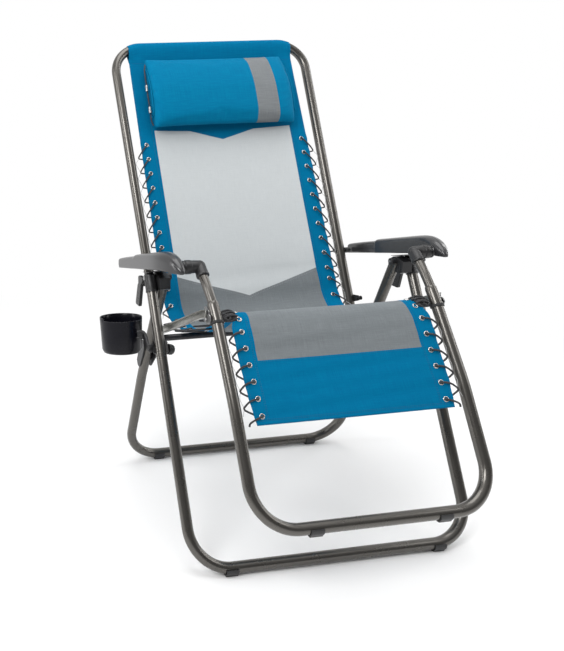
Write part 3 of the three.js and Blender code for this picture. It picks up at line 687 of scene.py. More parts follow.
# ---------------------------------------------------------------- seat rails: pressed channels, open outwards
RA, RB = np.array([104.0, 562.7]), np.array([372.0, 431.5])
ru = unit(RB - RA)
rn = np.array([-ru[1], ru[0]])
if rn[1] < 0:
    rn = -rn
for side, s in (("right", 1), ("left", -1)):
    hh = 8.6
    sec = [(275.2, hh - 1.2), (276.2, hh), (286.0, hh), (286.8, hh - 0.7), (286.8, hh - 2.6), (286.0, hh - 2.9), (285.2, hh - 2.6), (285.0, hh - 1.9), (277.4, hh - 1.9), (277.1, hh - 2.3)]
    sec = sec + [(x, -h) for x, h in sec[::-1]]
    m = len(sec)
    vs = []
    for q in (RA - ru * 6, RB + ru * 6):
        vs += [(x, *(q + rn * h)) for x, h in sec]
    fs = [tuple(range(m))[::-1], tuple(range(m, 2 * m))] + [(k, (k + 1) % m, m + (k + 1) % m, m + k) for k in range(m)]
    part = (np.array(vs, float), fs, None)
    # rounded ends of the web
    ends = [prism_data(hull([(*(RA - ru * 6), 8.4)], 32), 275.2, 277.0), prism_data(hull([(*(RB + ru * 6), 8.4)], 32), 275.2, 277.0)]
    parts = [part] + ends
    o = make("seat_rail_channel_" + side, *join_data([p if s > 0 else mirror_data(p) for p in parts])[:2], RAIL)
    bevel(outward(o), 0.3, 2, 40)
    stand(o, "seat", "bare_steel", "seat_rail_" + side)
    # low rivet head at the knee, slim bracket at the foot of the back frame
    o = make("knee_rivet_" + side, *(lambda p: p if s > 0 else mirror_data(p))(lathe_data([(0, -6), (2.9, -6), (2.9, 0), (4.9, 0), (5.2, 0.5), (4.6, 1.7), (2.6, 2.3), (0, 2.4)], (277.4, *KNEE), (1, 0, 0), 28))[:2], BOLT)
    stand(outward(o), "seat", "fastener", "knee_bolt_" + side)
    part = prism_data(hull([(*BACK_PIVOT, 7.0), (back_y(472), 470, 3.5), (back_y(458), 458, 3.5)]), 280.4, 284.2)
    o = make("back_foot_bracket_" + side, *(part if s > 0 else mirror_data(part))[:2], DARK)
    bevel(outward(o), 0.7, 2, 40)
    stand(o, "back", "dark_steel", "back_bracket_" + side)
    # pressed plate on the footrest tube at the knee
    plate = prism_data(hull([(KNEE[0] - 1, KNEE[1] - 2, 8.0), (KNEE[0] + 12, KNEE[1] + 19, 6.5), (KNEE[0] - 2, KNEE[1] + 16, 5.5)]), 270.6, 272.8)
    rib = prism_data(hull([(KNEE[0] + 2, KNEE[1] + 4, 1.2), (KNEE[0] + 10, KNEE[1] + 18, 1.2)], 12), 272.6, 273.8)
    o = make("knee_plate_" + side, *join_data([p if s > 0 else mirror_data(p) for p in (plate, rib)])[:2], BOLT)
    bevel(outward(o), 0.4, 2, 40)
    stand(o, "footrest", "fastener")

# ---------------------------------------------------------------- armrests
# stations: y, top, bottom, inner x, outer x, corner radius
ST = [
    (505.6, 592.5, 571.5, 311, 346.5, 3), (505.2, 594.6, 570.4, 309.4, 348.2, 5), (503.8, 596.0, 570.2, 308.8, 349.0, 6.5), (499, 598.0, 571.4, 308.5, 349.2, 7.5), (486, 602.0, 574.4, 308.5, 349.2, 8), (460, 609.6, 580.4, 308.5, 349.2, 8.5),
    (430, 618.0, 587.2, 308.5, 349.2, 8.5), (400, 625.8, 594.0, 308.5, 349.2, 8.5), (381, 630.6, 598.4, 308.2, 349.2, 8.5), (378.6, 632.6, 599.0, 305.0, 349.2, 9), (376.2, 635.6, 599.6, 300.8, 349.2, 9.5), (373, 637.2, 600.4, 300, 349.2, 10),
    (360, 640.4, 603.3, 300, 349.2, 10.5), (330, 648.6, 610.2, 300, 349.2, 11.5), (300, 656.8, 617.0, 300, 349.2, 12.5), (270, 665.0, 623.8, 300, 349.2, 14), (240, 673.2, 630.6, 300, 348.8, 15.5),
    (220, 678.2, 635.0, 300, 347.6, 17), (205, 681.0, 638.2, 300, 345.8, 18), (190, 681.8, 640.6, 300.4, 343.2, 18.5), (175, 680.4, 642.8, 301.2, 339.8, 18.2), (161, 676.8, 644.0, 302.4, 335.6, 16.5),
    (149, 671.0, 644.6, 304.2, 331.0, 13.5), (140, 664.8, 645.0, 306.4, 326.4, 10), (134, 659.0, 645.4, 308.6, 322.4, 6.5), (130.6, 654.2, 646.0, 310.6, 319.2, 4), (129.6, 651.6, 647.4, 311.8, 317.6, 2),
]
ST = np.array(ST, float)


def arm_section(y, zt, zb, x0, x1, rc, wall):
    """Points of an inverted U from the inner foot, over the crown, to the outer foot."""
    h, w = zt - zb, x1 - x0
    rc = min(rc, h * 0.8, w * 0.45)
    crown = min(1.6, w * 0.03)
    pts = [(x0, zb), (x0, zb + (h - rc) * 0.5), (x0, zt - rc)]
    for k in range(1, 7):
        a = math.pi - k * math.pi / 12
        pts.append((x0 + rc + rc * math.cos(a), zt - rc + rc * math.sin(a)))
    for t in (0.25, 0.5, 0.75):
        pts.append((x0 + rc + (w - 2 * rc) * t, zt + crown * 4 * t * (1 - t) * 0.6))
    for k in range(6):
        a = math.pi / 2 - k * math.pi / 12
        pts.append((x1 - rc + rc * math.cos(a), zt - rc + rc * math.sin(a)))
    pts += [(x1, zt - rc), (x1, zb + (h - rc) * 0.5), (x1, zb)]
    return [(x, y, z) for x, z in pts]


def armrest(side, s):
    rows = []
    n_st = len(ST)
    for i, (y, zt, zb, x0, x1, rc) in enumerate(ST):
        rows.append(arm_section(y, zt, zb, x0, x1, rc, 0))
    nc = len(rows[0])
    vs = [p for r in rows for p in r]
    # inner shell, 3.2 mm inside, from just behind the nose to just before the rear end
    lo_i, hi_i = 2, n_st - 4
    inner_rows = []
    for i in range(lo_i, hi_i + 1):
        y, zt, zb, x0, x1, rc = ST[i]
        if i == lo_i:
            y -= 2.2
        if i == hi_i:
            y += 3
        inner_rows.append(arm_section(y, zt - 3.2, zb, x0 + 3.2, x1 - 3.2, max(rc - 3.2, 2), 0))
    base = len(vs)
    vs += [p for r in inner_rows for p in r]
    fs = []
    for i in range(n_st - 1):
        for k in range(nc - 1):
            a = i * nc + k
            fs.append((a, a + 1, a + 1 + nc, a + nc))
    m = len(inner_rows)
    for i in range(m - 1):
        for k in range(nc - 1):
            a = base + i * nc + k
            fs.append((a, a + nc, a + nc + 1, a + 1))
    # end walls of the inner shell
    fs.append(tuple(base + k for k in range(nc)))
    fs.append(tuple(base + (m - 1) * nc + k for k in range(nc))[::-1])
    # outer ends
    fs.append(tuple(range(nc))[::-1])
    fs.append(tuple((n_st - 1) * nc + k for k in range(nc)))
    # the rim underneath: outer feet to inner feet
    for k, kk in ((0, 0), (nc - 1, nc - 1)):
        for i in range(m - 1):
            a, b = (lo_i + i) * nc + k, (lo_i + i + 1) * nc + k
            c, d = base + (i + 1) * nc + kk, base + i * nc + kk
            fs.append((a, b, c, d) if k == 0 else (a, d, c, b))
    # floors in front of and behind the channel
    for i in range(lo_i):
        a = i * nc
        fs.append((a, a + nc, a + nc + nc - 1, a + nc - 1))
    for i in range(hi_i, n_st - 1):
        a = i * nc
        fs.append((a, a + nc, a + nc + nc - 1, a + nc - 1))
    a, b = lo_i * nc, base
    fs.append((a, b, b + nc - 1, a + nc - 1))
    a, b = hi_i * nc, base + (m - 1) * nc
    fs.append((b, a, a + nc - 1, b + nc - 1))
    part = (np.array(vs, float), fs, None)
    if s < 0:
        part = mirror_data(part)
    o = make("armrest_shell_" + side, part[0], part[1], ARM_PLASTIC, smooth=50)
    outward(o)
    sub = o.modifiers.new("fine", "SUBSURF")
    sub.levels = sub.render_levels = 1
    stand(o, "arm_" + side, "armrest_plastic", "armrest_" + side)
    # boss that takes the elbow's pin
    y, z = ARM_FRONT
    boss = lathe_data([(0, 0), (14.6, 0), (15.4, 0.8), (15.4, 3.0), (14.6, 3.8), (0, 3.8)], (s * 299.2, y, z), (s, 0, 0), 40)
    rib = prism_data(hull([(y + 16, z - 9, 1.2), (y + 60, z - 12, 1.2)], 12), min(s * 301, s * 303.4), max(s * 301, s * 303.4))
    g = make("armrest_boss_" + side, *join_data([boss, rib])[:2], ARM_PLASTIC)
    outward(g)
    stand(g, "arm_" + side, "armrest_plastic")


armrest("right", 1)
armrest("left", -1)

# ---------------------------------------------------------------- cup holder
CUP = (-403.0, 296.0)
CR, CZ0, CZ1 = 51.0, 408.0, 506.0
CH = 86.0
taper = 3.0
prof = [(0, 1.2), (CR - 16, 1.2), (CR - 13.5, 0), (CR - 9, 0), (CR - 6.6, 1.2), (CR - 5.2, 4), (CR - taper, 9), (CR - 1.6, 46), (CR - 0.4, CH - 12), (CR, CH - 1.2), (CR - 0.7, CH - 0.2), (CR - 2.0, CH - 0.2), (CR - 2.7, CH - 1.2), (CR - 3.2, CH - 12), (CR - 4.6, 46), (CR - taper - 3.2, 9), (CR - 12, 5), (0, 5)]
vs, fs, _ = lathe_data(prof, (0, 0, 0), (0, 0, 1), 128, hint=(0, -1, 0))
tilt = math.radians(9)
for v in vs:
    # the front of the rim is cut down by 6 mm, in a short step at each side
    if v[2] > CH - 12.5:
        w = 0.5 - 0.5 * math.tanh((v[1] + 14) / 1.6)
        v[2] -= 6.0 * w * (v[2] - (CH - 12)) / 12 if v[2] > CH - 12 else 0
    y, z = v[1], v[2] - CH / 2
    # it hangs a little back on its arm
    v[1], v[2] = y * math.cos(tilt) + z * math.sin(tilt), z * math.cos(tilt) - y * math.sin(tilt)
    v[0] += CUP[0]
    v[1] += CUP[1]
    v[2] += 461.0
o = make("cup_holder_cup", vs, fs, CUP_PLASTIC, smooth=40)
stand(outward(o), "front_legs", "cup_plastic", "cup_holder")

t = (452 - Z_BAR) / (APEX[1] - Z_BAR)
leg = np.array([-(FRONT_W + (FRONT_TOP_W - FRONT_W) * t), APEX[0] * t, 452.0])
ld = unit(np.array([-FRONT_TOP_W, *APEX]) - np.array([-FRONT_W, 0, Z_BAR]))
kd = unit([0.86, 0.36, -0.36])
parts = []
# split clamp: a C that grips the leg from behind, open on the sitter's side
cu = unit(np.array([0.337, 0.941, 0]) - ld * (np.array([0.337, 0.941, 0]) @ ld))
cw = np.cross(ld, cu)


def c_ring(r0, r1, half, h0, h1, n=40):
    a = np.radians(np.linspace(-half, half, n + 1))
    sec = [(r1 * math.cos(t), r1 * math.sin(t)) for t in a] + [(r0 * math.cos(t), r0 * math.sin(t)) for t in a[::-1]]
    m = len(sec)
    v = [leg + cu * p + cw * q + ld * h for h in (h0, h1) for p, q in sec]
    f = [tuple(range(m))[::-1], tuple(range(m, 2 * m))] + [(k, (k + 1) % m, m + (k + 1) % m, m + k) for k in range(m)]
    return np.array(v), f, None


parts.append(c_ring(12.62, 17.2, 104, -13, 13))
parts.append(c_ring(12.9, 18.2, 100, -10.5, -7.5))
parts.append(c_ring(12.9, 18.2, 100, 7.5, 10.5))
# arm: two curved ribs from the cup to the clamp
a0 = np.array([CUP[0] + 30, CUP[1] - 42, CZ0 + 64])
for dz, rr in ((7, 3.4), (-9, 3.4)):
    path = spline([a0 + [-4, 2, dz], a0 + [10, -8, dz * 0.9], leg + [-26, 6, dz * 0.8], leg + [-13, 6, dz * 0.7]], 4)
    parts.append(tube_data(path, rr, 16))
web = spline([a0 + [-3, 2, 0], a0 + [10, -8, 0], leg + [-26, 6, 0], leg + [-13, 6, 0]], 4)
parts.append(tube_data(web, 9.5, 20, hint=(0, 0, 1), squash=0.2))
parts.append(lathe_data([(0, 10), (7.5, 10), (7.5, 20.4), (6.8, 21), (0, 21)], leg, kd, 24))
vs, fs, uv = join_data(parts)
o = make("cup_holder_bracket", vs, fs, BLACK)
stand(outward(o), "front_legs", "black_plastic", "cup_holder_arm")

# knurled knob
lob, vs, fs = 16, [], []
prof = [(0, 21.6), (10.6, 21.6), (12.4, 22.6), (12.6, 25), (12.6, 34.6), (12.2, 36.8), (10.4, 37.8), (6.5, 37.8), (5.8, 36.9), (0, 36.9)]
kv, kf, _ = lathe_data(prof, leg, kd, 128)
ctr = leg
u0 = unit(np.array([0, 0, 1]) - kd * kd[2])
v0 = np.cross(kd, u0)
for v in kv:
    h = (v - ctr) @ kd
    rvec = v - ctr - kd * h
    rr = np.linalg.norm(rvec)
    if rr > 10 and 22 < h < 37.4:
        ang = math.atan2(rvec @ v0, rvec @ u0)
        v -= unit(rvec) * 0.85 * (0.5 + 0.5 * math.cos(lob * ang))
kv2, kf2, _ = lathe_data([(0, 14.6), (2.9, 14.6), (2.9, 22), (0, 22)], leg, kd, 20)
vs, fs, _ = join_data([(kv, kf, None), (kv2, kf2, None)])
o = make("clamp_knob", vs, fs, BLACK)
stand(outward(o), "cup_knob", "black_plastic", "cup_clamp_knob")

# ---------------------------------------------------------------- the sling
# centre line of the cloth, as (y, z), from below the top bar down the back, under the sitter, over the knee and down the calf
pn = unit(np.array([-1.0, SLOPE]))           # out of the back's plane, towards the sitter
pd = unit(np.array([SLOPE, 1.0]))            # up the back's plane
top = np.array(TOP)


def on_back(up, out):
    return top + pd * up + pn * out


wrap = [on_back(-46, -1.6), on_back(-34, -4.6), on_back(-20, -9.0), on_back(-9, -12.6)]
for k in range(13):
    a = -math.pi / 2 + k * math.pi / 12
    wrap.append(on_back(13.7 * math.cos(a), 13.7 * math.sin(a)))
wrap += [on_back(-9, 12.4), on_back(-20, 8.4), on_back(-33, 3.6), on_back(-46, 0.8)]
N_WRAP = len(wrap)
lower = [(back_y(1060), 1060), (back_y(1000), 1000), (back_y(900), 900), (back_y(800), 800), (back_y(700), 700), (back_y(600), 600), (back_y(545), 545), (451, 512), (439, 488), (421, 467), (398, 453), (370, 447), (340, 448), (300, 456), (250, 471), (200, 494), (160, 521), (130, 546), (112, 557.5), (97, 561), (82, 555.5), (66, 541), (48, 518), (25, 479), (-17.5, 417), (-48, 369)]
line = spline([tuple(on_back(-46, 0.8))] + lower, 3.0)
arc = np.r_[0, np.cumsum(np.linalg.norm(np.diff(line, axis=0), axis=1))]
LEN = arc[-1]
tang = np.gradient(line, axis=0)
tang = tang / np.linalg.norm(tang, axis=1)[:, None]
norm = np.stack([-(-tang[:, 1]), -tang[:, 0]], 1)   # candidate normals, fixed below
norm = np.stack([tang[:, 1], -tang[:, 0]], 1)
if norm[5] @ pn < 0:
    norm = -norm


def at(s):
    y, z = np.interp(s, arc, line[:, 0]), np.interp(s, arc, line[:, 1])
    n = unit([np.interp(s, arc, norm[:, 0]), np.interp(s, arc, norm[:, 1])])
    return y, z, n


def s_of(y, z):
    return arc[np.argmin((line[:, 0] - y) ** 2 + (line[:, 1] - z) ** 2)]


def s_z(z):          # only on the straight back
    return arc[np.argmin(np.where(np.arange(len(line)) < len(line) // 2, np.abs(line[:, 1] - z), 1e9))]


KEYS = [s_z(1100), s_z(882), s_z(545), s_of(421, 467), s_of(300, 456), s_of(200, 494), s_of(112, 557.5), s_of(82, 555.5), s_of(66, 541), s_of(34, 498), s_of(-17, 417), LEN]
EDGE = [246.5, 246.5, 246.0, 244, 238, 229, 217, 219, 229, 229.5, 226.8, 221]
BAND = [203, 202.6, 199.5, 201, 196, 190, 185, 186, 188.5, 189.6, 189.8, 189.8]
SAGS = [2, 10, 16, 15, 14, 9, 1.5, 1, 2.5, 5, 4.5, 2]


def edge(s):
    return np.interp(s, KEYS, EDGE)


def band(s):
    return np.interp(s, KEYS, BAND)


def sag(s):
    return np.interp(s, [0] + KEYS, [0] + SAGS)


# eyelets, as distances down the cloth
EY_BACK = [s_z(881 - 37.4 * k) for k in range(11)] + [s_of(433, 478)]
EY_SEAT = [s_of(y, z) for y, z in ((392, 451), (352, 447), (312, 453), (272, 464), (232, 478), (194, 497), (160, 521), (132, 544.5))]
EY_HUMP = [s_of(104, 560), s_of(80, 554)]
s_c0, s_c1 = s_of(58, 531), s_of(-38, 385)
EY_CALF = [s_c0 + (s_c1 - s_c0) * k / 5 for k in range(6)]
ALL_EY = np.array(EY_BACK + EY_SEAT + EY_HUMP + EY_CALF)
S_KNEE_SEAM = s_of(25, 479)
S_SPLIT = s_of(240, 475)


def cloth_point(x, s, off=0.0):
    y, z, n = at(s)
    e = edge(s)
    u = min(1.0, abs(x) / e)
    d = -sag(s) * (1 - u ** 2.2)
    # small tension ripples that run across, stronger near the knee and calf
    ripple = 0.0
    if s > S_KNEE_SEAM - 140:
        ripple = 0.55 * math.sin(s / 11.0 + 1.3 * math.sin(x / 90.0)) * (1 - u ** 4) + 0.35 * math.sin(s / 5.3 + x / 70)
    elif s > s_z(560):
        ripple = 0.8 * math.sin(s / 13.0 + 0.9 * math.sin(x / 120.0)) * (1 - u ** 4)
    else:
        ripple = 0.35 * math.sin(s / 46.0 + x / 160) * (1 - u ** 2)
    # the cloth lifts towards each eyelet
    near = ALL_EY[np.argmin(np.abs(ALL_EY - s))]
    pull = math.exp(-((s - near) / 9.0) ** 2) * max(0.0, (u - 0.86) / 0.14)
    d += ripple + 0.9 * pull + off
    return x, y + n[0] * d, z + n[1] * d


def columns():
    """Shares of the width: 1 at the hem down to 0 at the middle."""
    outer = [1.0, 0.985, 0.93, 0.86, 0.72, 0.5, 0.25, 0.0]
    return outer


T2 = 1.3   # thickness of the cloth


def sheet(name, s_rows_fn, n_rows, materials, mat_fn, s_list):
    pass


def build_cloth(name, sections, materials, wrap_rows=False):
    """sections: list of (s0(x) , s1(x), rows, inner material index). Columns follow the band and hem."""
    us_band = [1.0, 0.97, 0.9, 0.78, 0.6, 0.4, 0.2, 0.0]
    xs_in = [1.0, 0.985, 0.93, 0.86, 0.78, 0.7, 0.62, 0.545, 0.465, 0.37, 0.28, 0.19, 0.1, 0.0]
    cols = [("b", -1, u) for u in us_band] + [("i", -1, u) for u in xs_in[1:]] + [("i", 1, u) for u in xs_in[::-1][1:]] + [("b", 1, u) for u in us_band[::-1][1:]]

    def x_of(col, s):
        kind, sg, u = col
        e, b = edge(s), band(s)
        near = ALL_EY[np.argmin(np.abs(ALL_EY - s))]
        e = e + 0.9 * math.exp(-((s - near) / 9.0) ** 2) - 0.5
        return sg * (b + (e - b) * u) if kind == "b" else sg * b * u

    def kind_of(i):
        a, b = cols[i], cols[i + 1]
        return "b" if "b" in (a[0], b[0]) and not (a[0] == "i" and b[0] == "i") else "i"

    grid, uvs, fm = [], [], []
    row_mat = []
    if wrap_rows:
        for j, q in enumerate(wrap[:-1]):
            row = []
            for c in cols:
                x = x_of(c, 0.0)
                over = max(0.0, abs(x) - 211)
                drop = 78 - math.sqrt(max(78 ** 2 - over ** 2, 0))
                up = (np.array(q) - top) @ pd
                fade = 1.0 if up > -14 else max(0.0, (up + 46) / 32)
                y, z = np.array(q) - pd * drop * fade
                row.append((x, y, z))
            grid.append(row)
            uvs.append([(x_of(c, 0.0) / 1000, -(N_WRAP - 1 - j) * 0.0055) for c in cols])
            row_mat.append(0)
    for si, (f0, f1, rows, mat) in enumerate(sections):
        for r in range(rows + 1):
            if r == 0 and si > 0:
                continue
            row, uvr = [], []
            for c in cols:
                # the section's limits depend on x; x depends a little on s, so settle it in two steps
                x = x_of(c, (f0(0) + f1(0)) / 2)
                for _ in range(3):
                    s = f0(abs(x)) + (f1(abs(x)) - f0(abs(x))) * r / rows
                    x = x_of(c, s)
                row.append(cloth_point(x, s))
                uvr.append((x / 1000, s / 1000))
            grid.append(row)
            uvs.append(uvr)
            row_mat.append(mat)
    nr, nc = len(grid), len(cols)
    g = np.array(grid)
    gu = np.gradient(g, axis=0)
    gx = np.gradient(g, axis=1)
    nn = np.cross(gx, gu)
    nn /= np.linalg.norm(nn, axis=2)[:, :, None]
    mid = nn[nr // 2, nc // 2]
    ref = np.array([0, pn[0], pn[1]])
    if nn[min(nr - 1, N_WRAP + 20), nc // 2] @ ref < 0 and wrap_rows:
        nn = -nn
    if not wrap_rows and mid[2] < 0:
        nn = -nn
    front_v = g + nn * T2 / 2
    back_v = g - nn * T2 / 2
    vs = np.concatenate([front_v.reshape(-1, 3), back_v.reshape(-1, 3)])
    uv = np.concatenate([np.array(uvs).reshape(-1, 2)] * 2)
    off = nr * nc
    fs, fmat = [], []
    for j in range(nr - 1):
        m = row_mat[j + 1]
        for i in range(nc - 1):
            a = j * nc + i
            q = (a, a + 1, a + 1 + nc, a + nc)
            k = 0 if kind_of(i) == "b" else m
            fs.append(q)
            fmat.append(k)
            fs.append(tuple(off + v for v in q[::-1]))
            fmat.append(k)
    for j in range(nr - 1):
        for i in (0, nc - 1):
            a, b = j * nc + i, (j + 1) * nc + i
            fs.append((a, b, b + off, a + off))
            fmat.append(0)
    for j in (0, nr - 1):
        for i in range(nc - 1):
            a, b = j * nc + i, j * nc + i + 1
            fs.append((a, b, b + off, a + off))
            fmat.append(row_mat[j] if kind_of(i) == "i" else 0)
    o = make(name, vs, fs, materials, face_mats=fmat, uv=uv, smooth=None)
    return outward(o)


def v_top(x):
    z = np.interp(x, [0, 94.2, 203], [892.6, 917, 920.5])
    return arc[0] + (on_back(-46, 0)[1] - z) / pd[1]


def v_bot(x):
    z = np.interp(x, [0, 200], [491, 546])
    return (on_back(-46, 0)[1] - z) / pd[1]


back_cloth = build_cloth("back_and_seat_sling", [
    (lambda x: 0.0, v_top, 22, 0),
    (v_top, v_bot, 64, 1),
    (v_bot, lambda x: S_SPLIT, 62, 2),
], [BLUE, MESH, GREY], wrap_rows=True)
calf_cloth = build_cloth("knee_and_calf_sling", [
    (lambda x: S_SPLIT, lambda x: S_KNEE_SEAM, 66, 2),
    (lambda x: S_KNEE_SEAM, lambda x: LEN, 34, 0),
], [BLUE, MESH, GREY])


def with_back(o):
    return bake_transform(o)


def with_knee(o):
    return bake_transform(o)


# ---------------------------------------------------------------- stitching
def stitches(rows, length=3.4, gap=1.6, r=0.42, lift=0.95):
    """rows of 3-D polylines with a lift direction; each stitch is a short spindle lying on the cloth."""
    out = []
    for pts in rows:
        p = np.asarray(pts, float)
        d = np.r_[0, np.cumsum(np.linalg.norm(np.diff(p, axis=0), axis=1))]
        n = int(d[-1] // (length + gap))
        for k in range(n):
            s0 = k * (length + gap) + gap / 2
            q = [np.array([np.interp(s0 + length * t, d, p[:, i]) for i in range(3)]) for t in (0, 0.5, 1)]
            out.append(tube_data(q, [r * 0.45, r, r * 0.45], 5))
    return join_data(out)


def cloth_row(x_fn, s0, s1, step=6, off=T2 / 2 + 0.1):
    n = max(2, int(abs(s1 - s0) / step))
    return [cloth_point(x_fn(s), s, off) for s in np.linspace(s0, s1, n)]


def v_row(fn, sign, delta, x_max, off=T2 / 2 + 0.1):
    return [cloth_point(sign * x, fn(x) + delta, off) for x in np.linspace(0, x_max, 40)]


rows_back, rows_calf = [], []
for sg in (-1, 1):
    for off in (T2 / 2 + 0.1, -T2 / 2 - 0.1):
        rows_back.append(cloth_row(lambda s: sg * (edge(s) - 5), 50, S_SPLIT, off=off))
        rows_back.append(cloth_row(lambda s: sg * (band(s) + 2.4), 50, S_SPLIT, off=off))
        rows_back.append(cloth_row(lambda s: sg * (band(s) + 5.4), 50, S_SPLIT, off=off))
        rows_calf.append(cloth_row(lambda s: sg * (edge(s) - 5), S_SPLIT, LEN - 6, off=off))
        rows_calf.append(cloth_row(lambda s: sg * (band(s) + 2.4), S_SPLIT, LEN - 10, off=off))
        rows_calf.append(cloth_row(lambda s: sg * (band(s) + 5.4), S_SPLIT, LEN - 10, off=off))
    rows_back.append(v_row(v_top, sg, -2.5, 200))
    rows_back.append(v_row(v_top, sg, -5.0, 200))
for off in (T2 / 2 + 0.1,):
    rows_back.append([cloth_point(x, 3.0, off) for x in np.linspace(-240, 240, 60)])
    rows_calf.append([cloth_point(x, LEN - 8.0, off) for x in np.linspace(-214, 214, 60)])
    rows_calf.append([cloth_point(x, LEN - 11.0, off) for x in np.linspace(-214, 214, 60)])
    rows_calf.append([cloth_point(x, S_KNEE_SEAM + 3.0, off) for x in np.linspace(-188, 188, 60)])
vs, fs, uv = stitches(rows_back)
o = with_back(make("back_stitching", vs, fs, THREAD_BLUE, uv=uv))
vs, fs, uv = stitches(rows_calf)
o = with_knee(make("calf_stitching", vs, fs, THREAD_BLUE, uv=uv))
grey_rows = []
for sg in (-1, 1):
    grey_rows.append(v_row(v_bot, sg, 2.5, 196))
    grey_rows.append(v_row(v_bot, sg, 5.5, 196))
vs, fs, uv = stitches(grey_rows)
o = with_back(make("grey_panel_stitching", vs, fs, THREAD_GREY, uv=uv))

with_back(back_cloth)
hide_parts("back_sling")
with_knee(calf_cloth)
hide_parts("footrest_sling", "seat_sling")


# ---------------------------------------------------------------- eyelets
def eyelet_data(x, s, inner=3.2, outer=6.3):
    c = np.array(cloth_point(x, s))
    a = np.array(cloth_point(x, s + 4)) - np.array(cloth_point(x, s - 4))
    b = np.array([1.0, 0, 0])
    n = unit(np.cross(b, a))
    y, z, nn = at(s)
    if n @ np.array([0, nn[0], nn[1]]) < 0:
        n = -n
    prof = []
    for k in range(11):
        t = k * math.pi / 10
        prof.append((inner + (outer - inner) * (0.5 + 0.5 * math.cos(t)), 0.7 + 1.5 * math.sin(t)))
    prof += [(inner, -0.7)]
    for k in range(1, 10):
        t = k * math.pi / 10
        prof.append((inner + (outer - inner) * (0.5 - 0.5 * math.cos(t)), -0.7 - 0.9 * math.sin(t)))
    prof += [(outer, -0.7)]
    return lathe_data(prof, c, n, 24), c, n


def ey_x(s, calf):
    if calf:
        return np.interp(s, [EY_HUMP[0], EY_CALF[0], EY_CALF[-1]], [204.5, 209.5, 206.0])
    return np.interp(s, [EY_BACK[0], EY_BACK[-1], EY_SEAT[2], EY_SEAT[-1]], [229.2, 228.5, 220, 205])


for side, sg in (("right", 1), ("left", -1)):
    back_parts = [eyelet_data(sg * ey_x(s, False), s)[0] for s in EY_BACK + [e for e in EY_SEAT if e < S_SPLIT]]
    calf_parts = [eyelet_data(sg * ey_x(s, False), s)[0] for s in EY_SEAT if s >= S_SPLIT] + [eyelet_data(sg * ey_x(s, True), s)[0] for s in EY_HUMP + EY_CALF]
    o = make("back_eyelets_" + side, *join_data(back_parts)[:2], EYELET)
    with_back(outward(o))
    o = make("calf_eyelets_" + side, *join_data(calf_parts)[:2], EYELET)
    with_knee(outward(o))


# ---------------------------------------------------------------- elastic lacing
def lace_cord(stops, r=1.95, step=2.5):
    return tube_data(spline(stops, step), r, 8)


def along(s, x, off):
    y, z, n = at(s)
    return np.array([x, y + n[0] * off, z + n[1] * off])


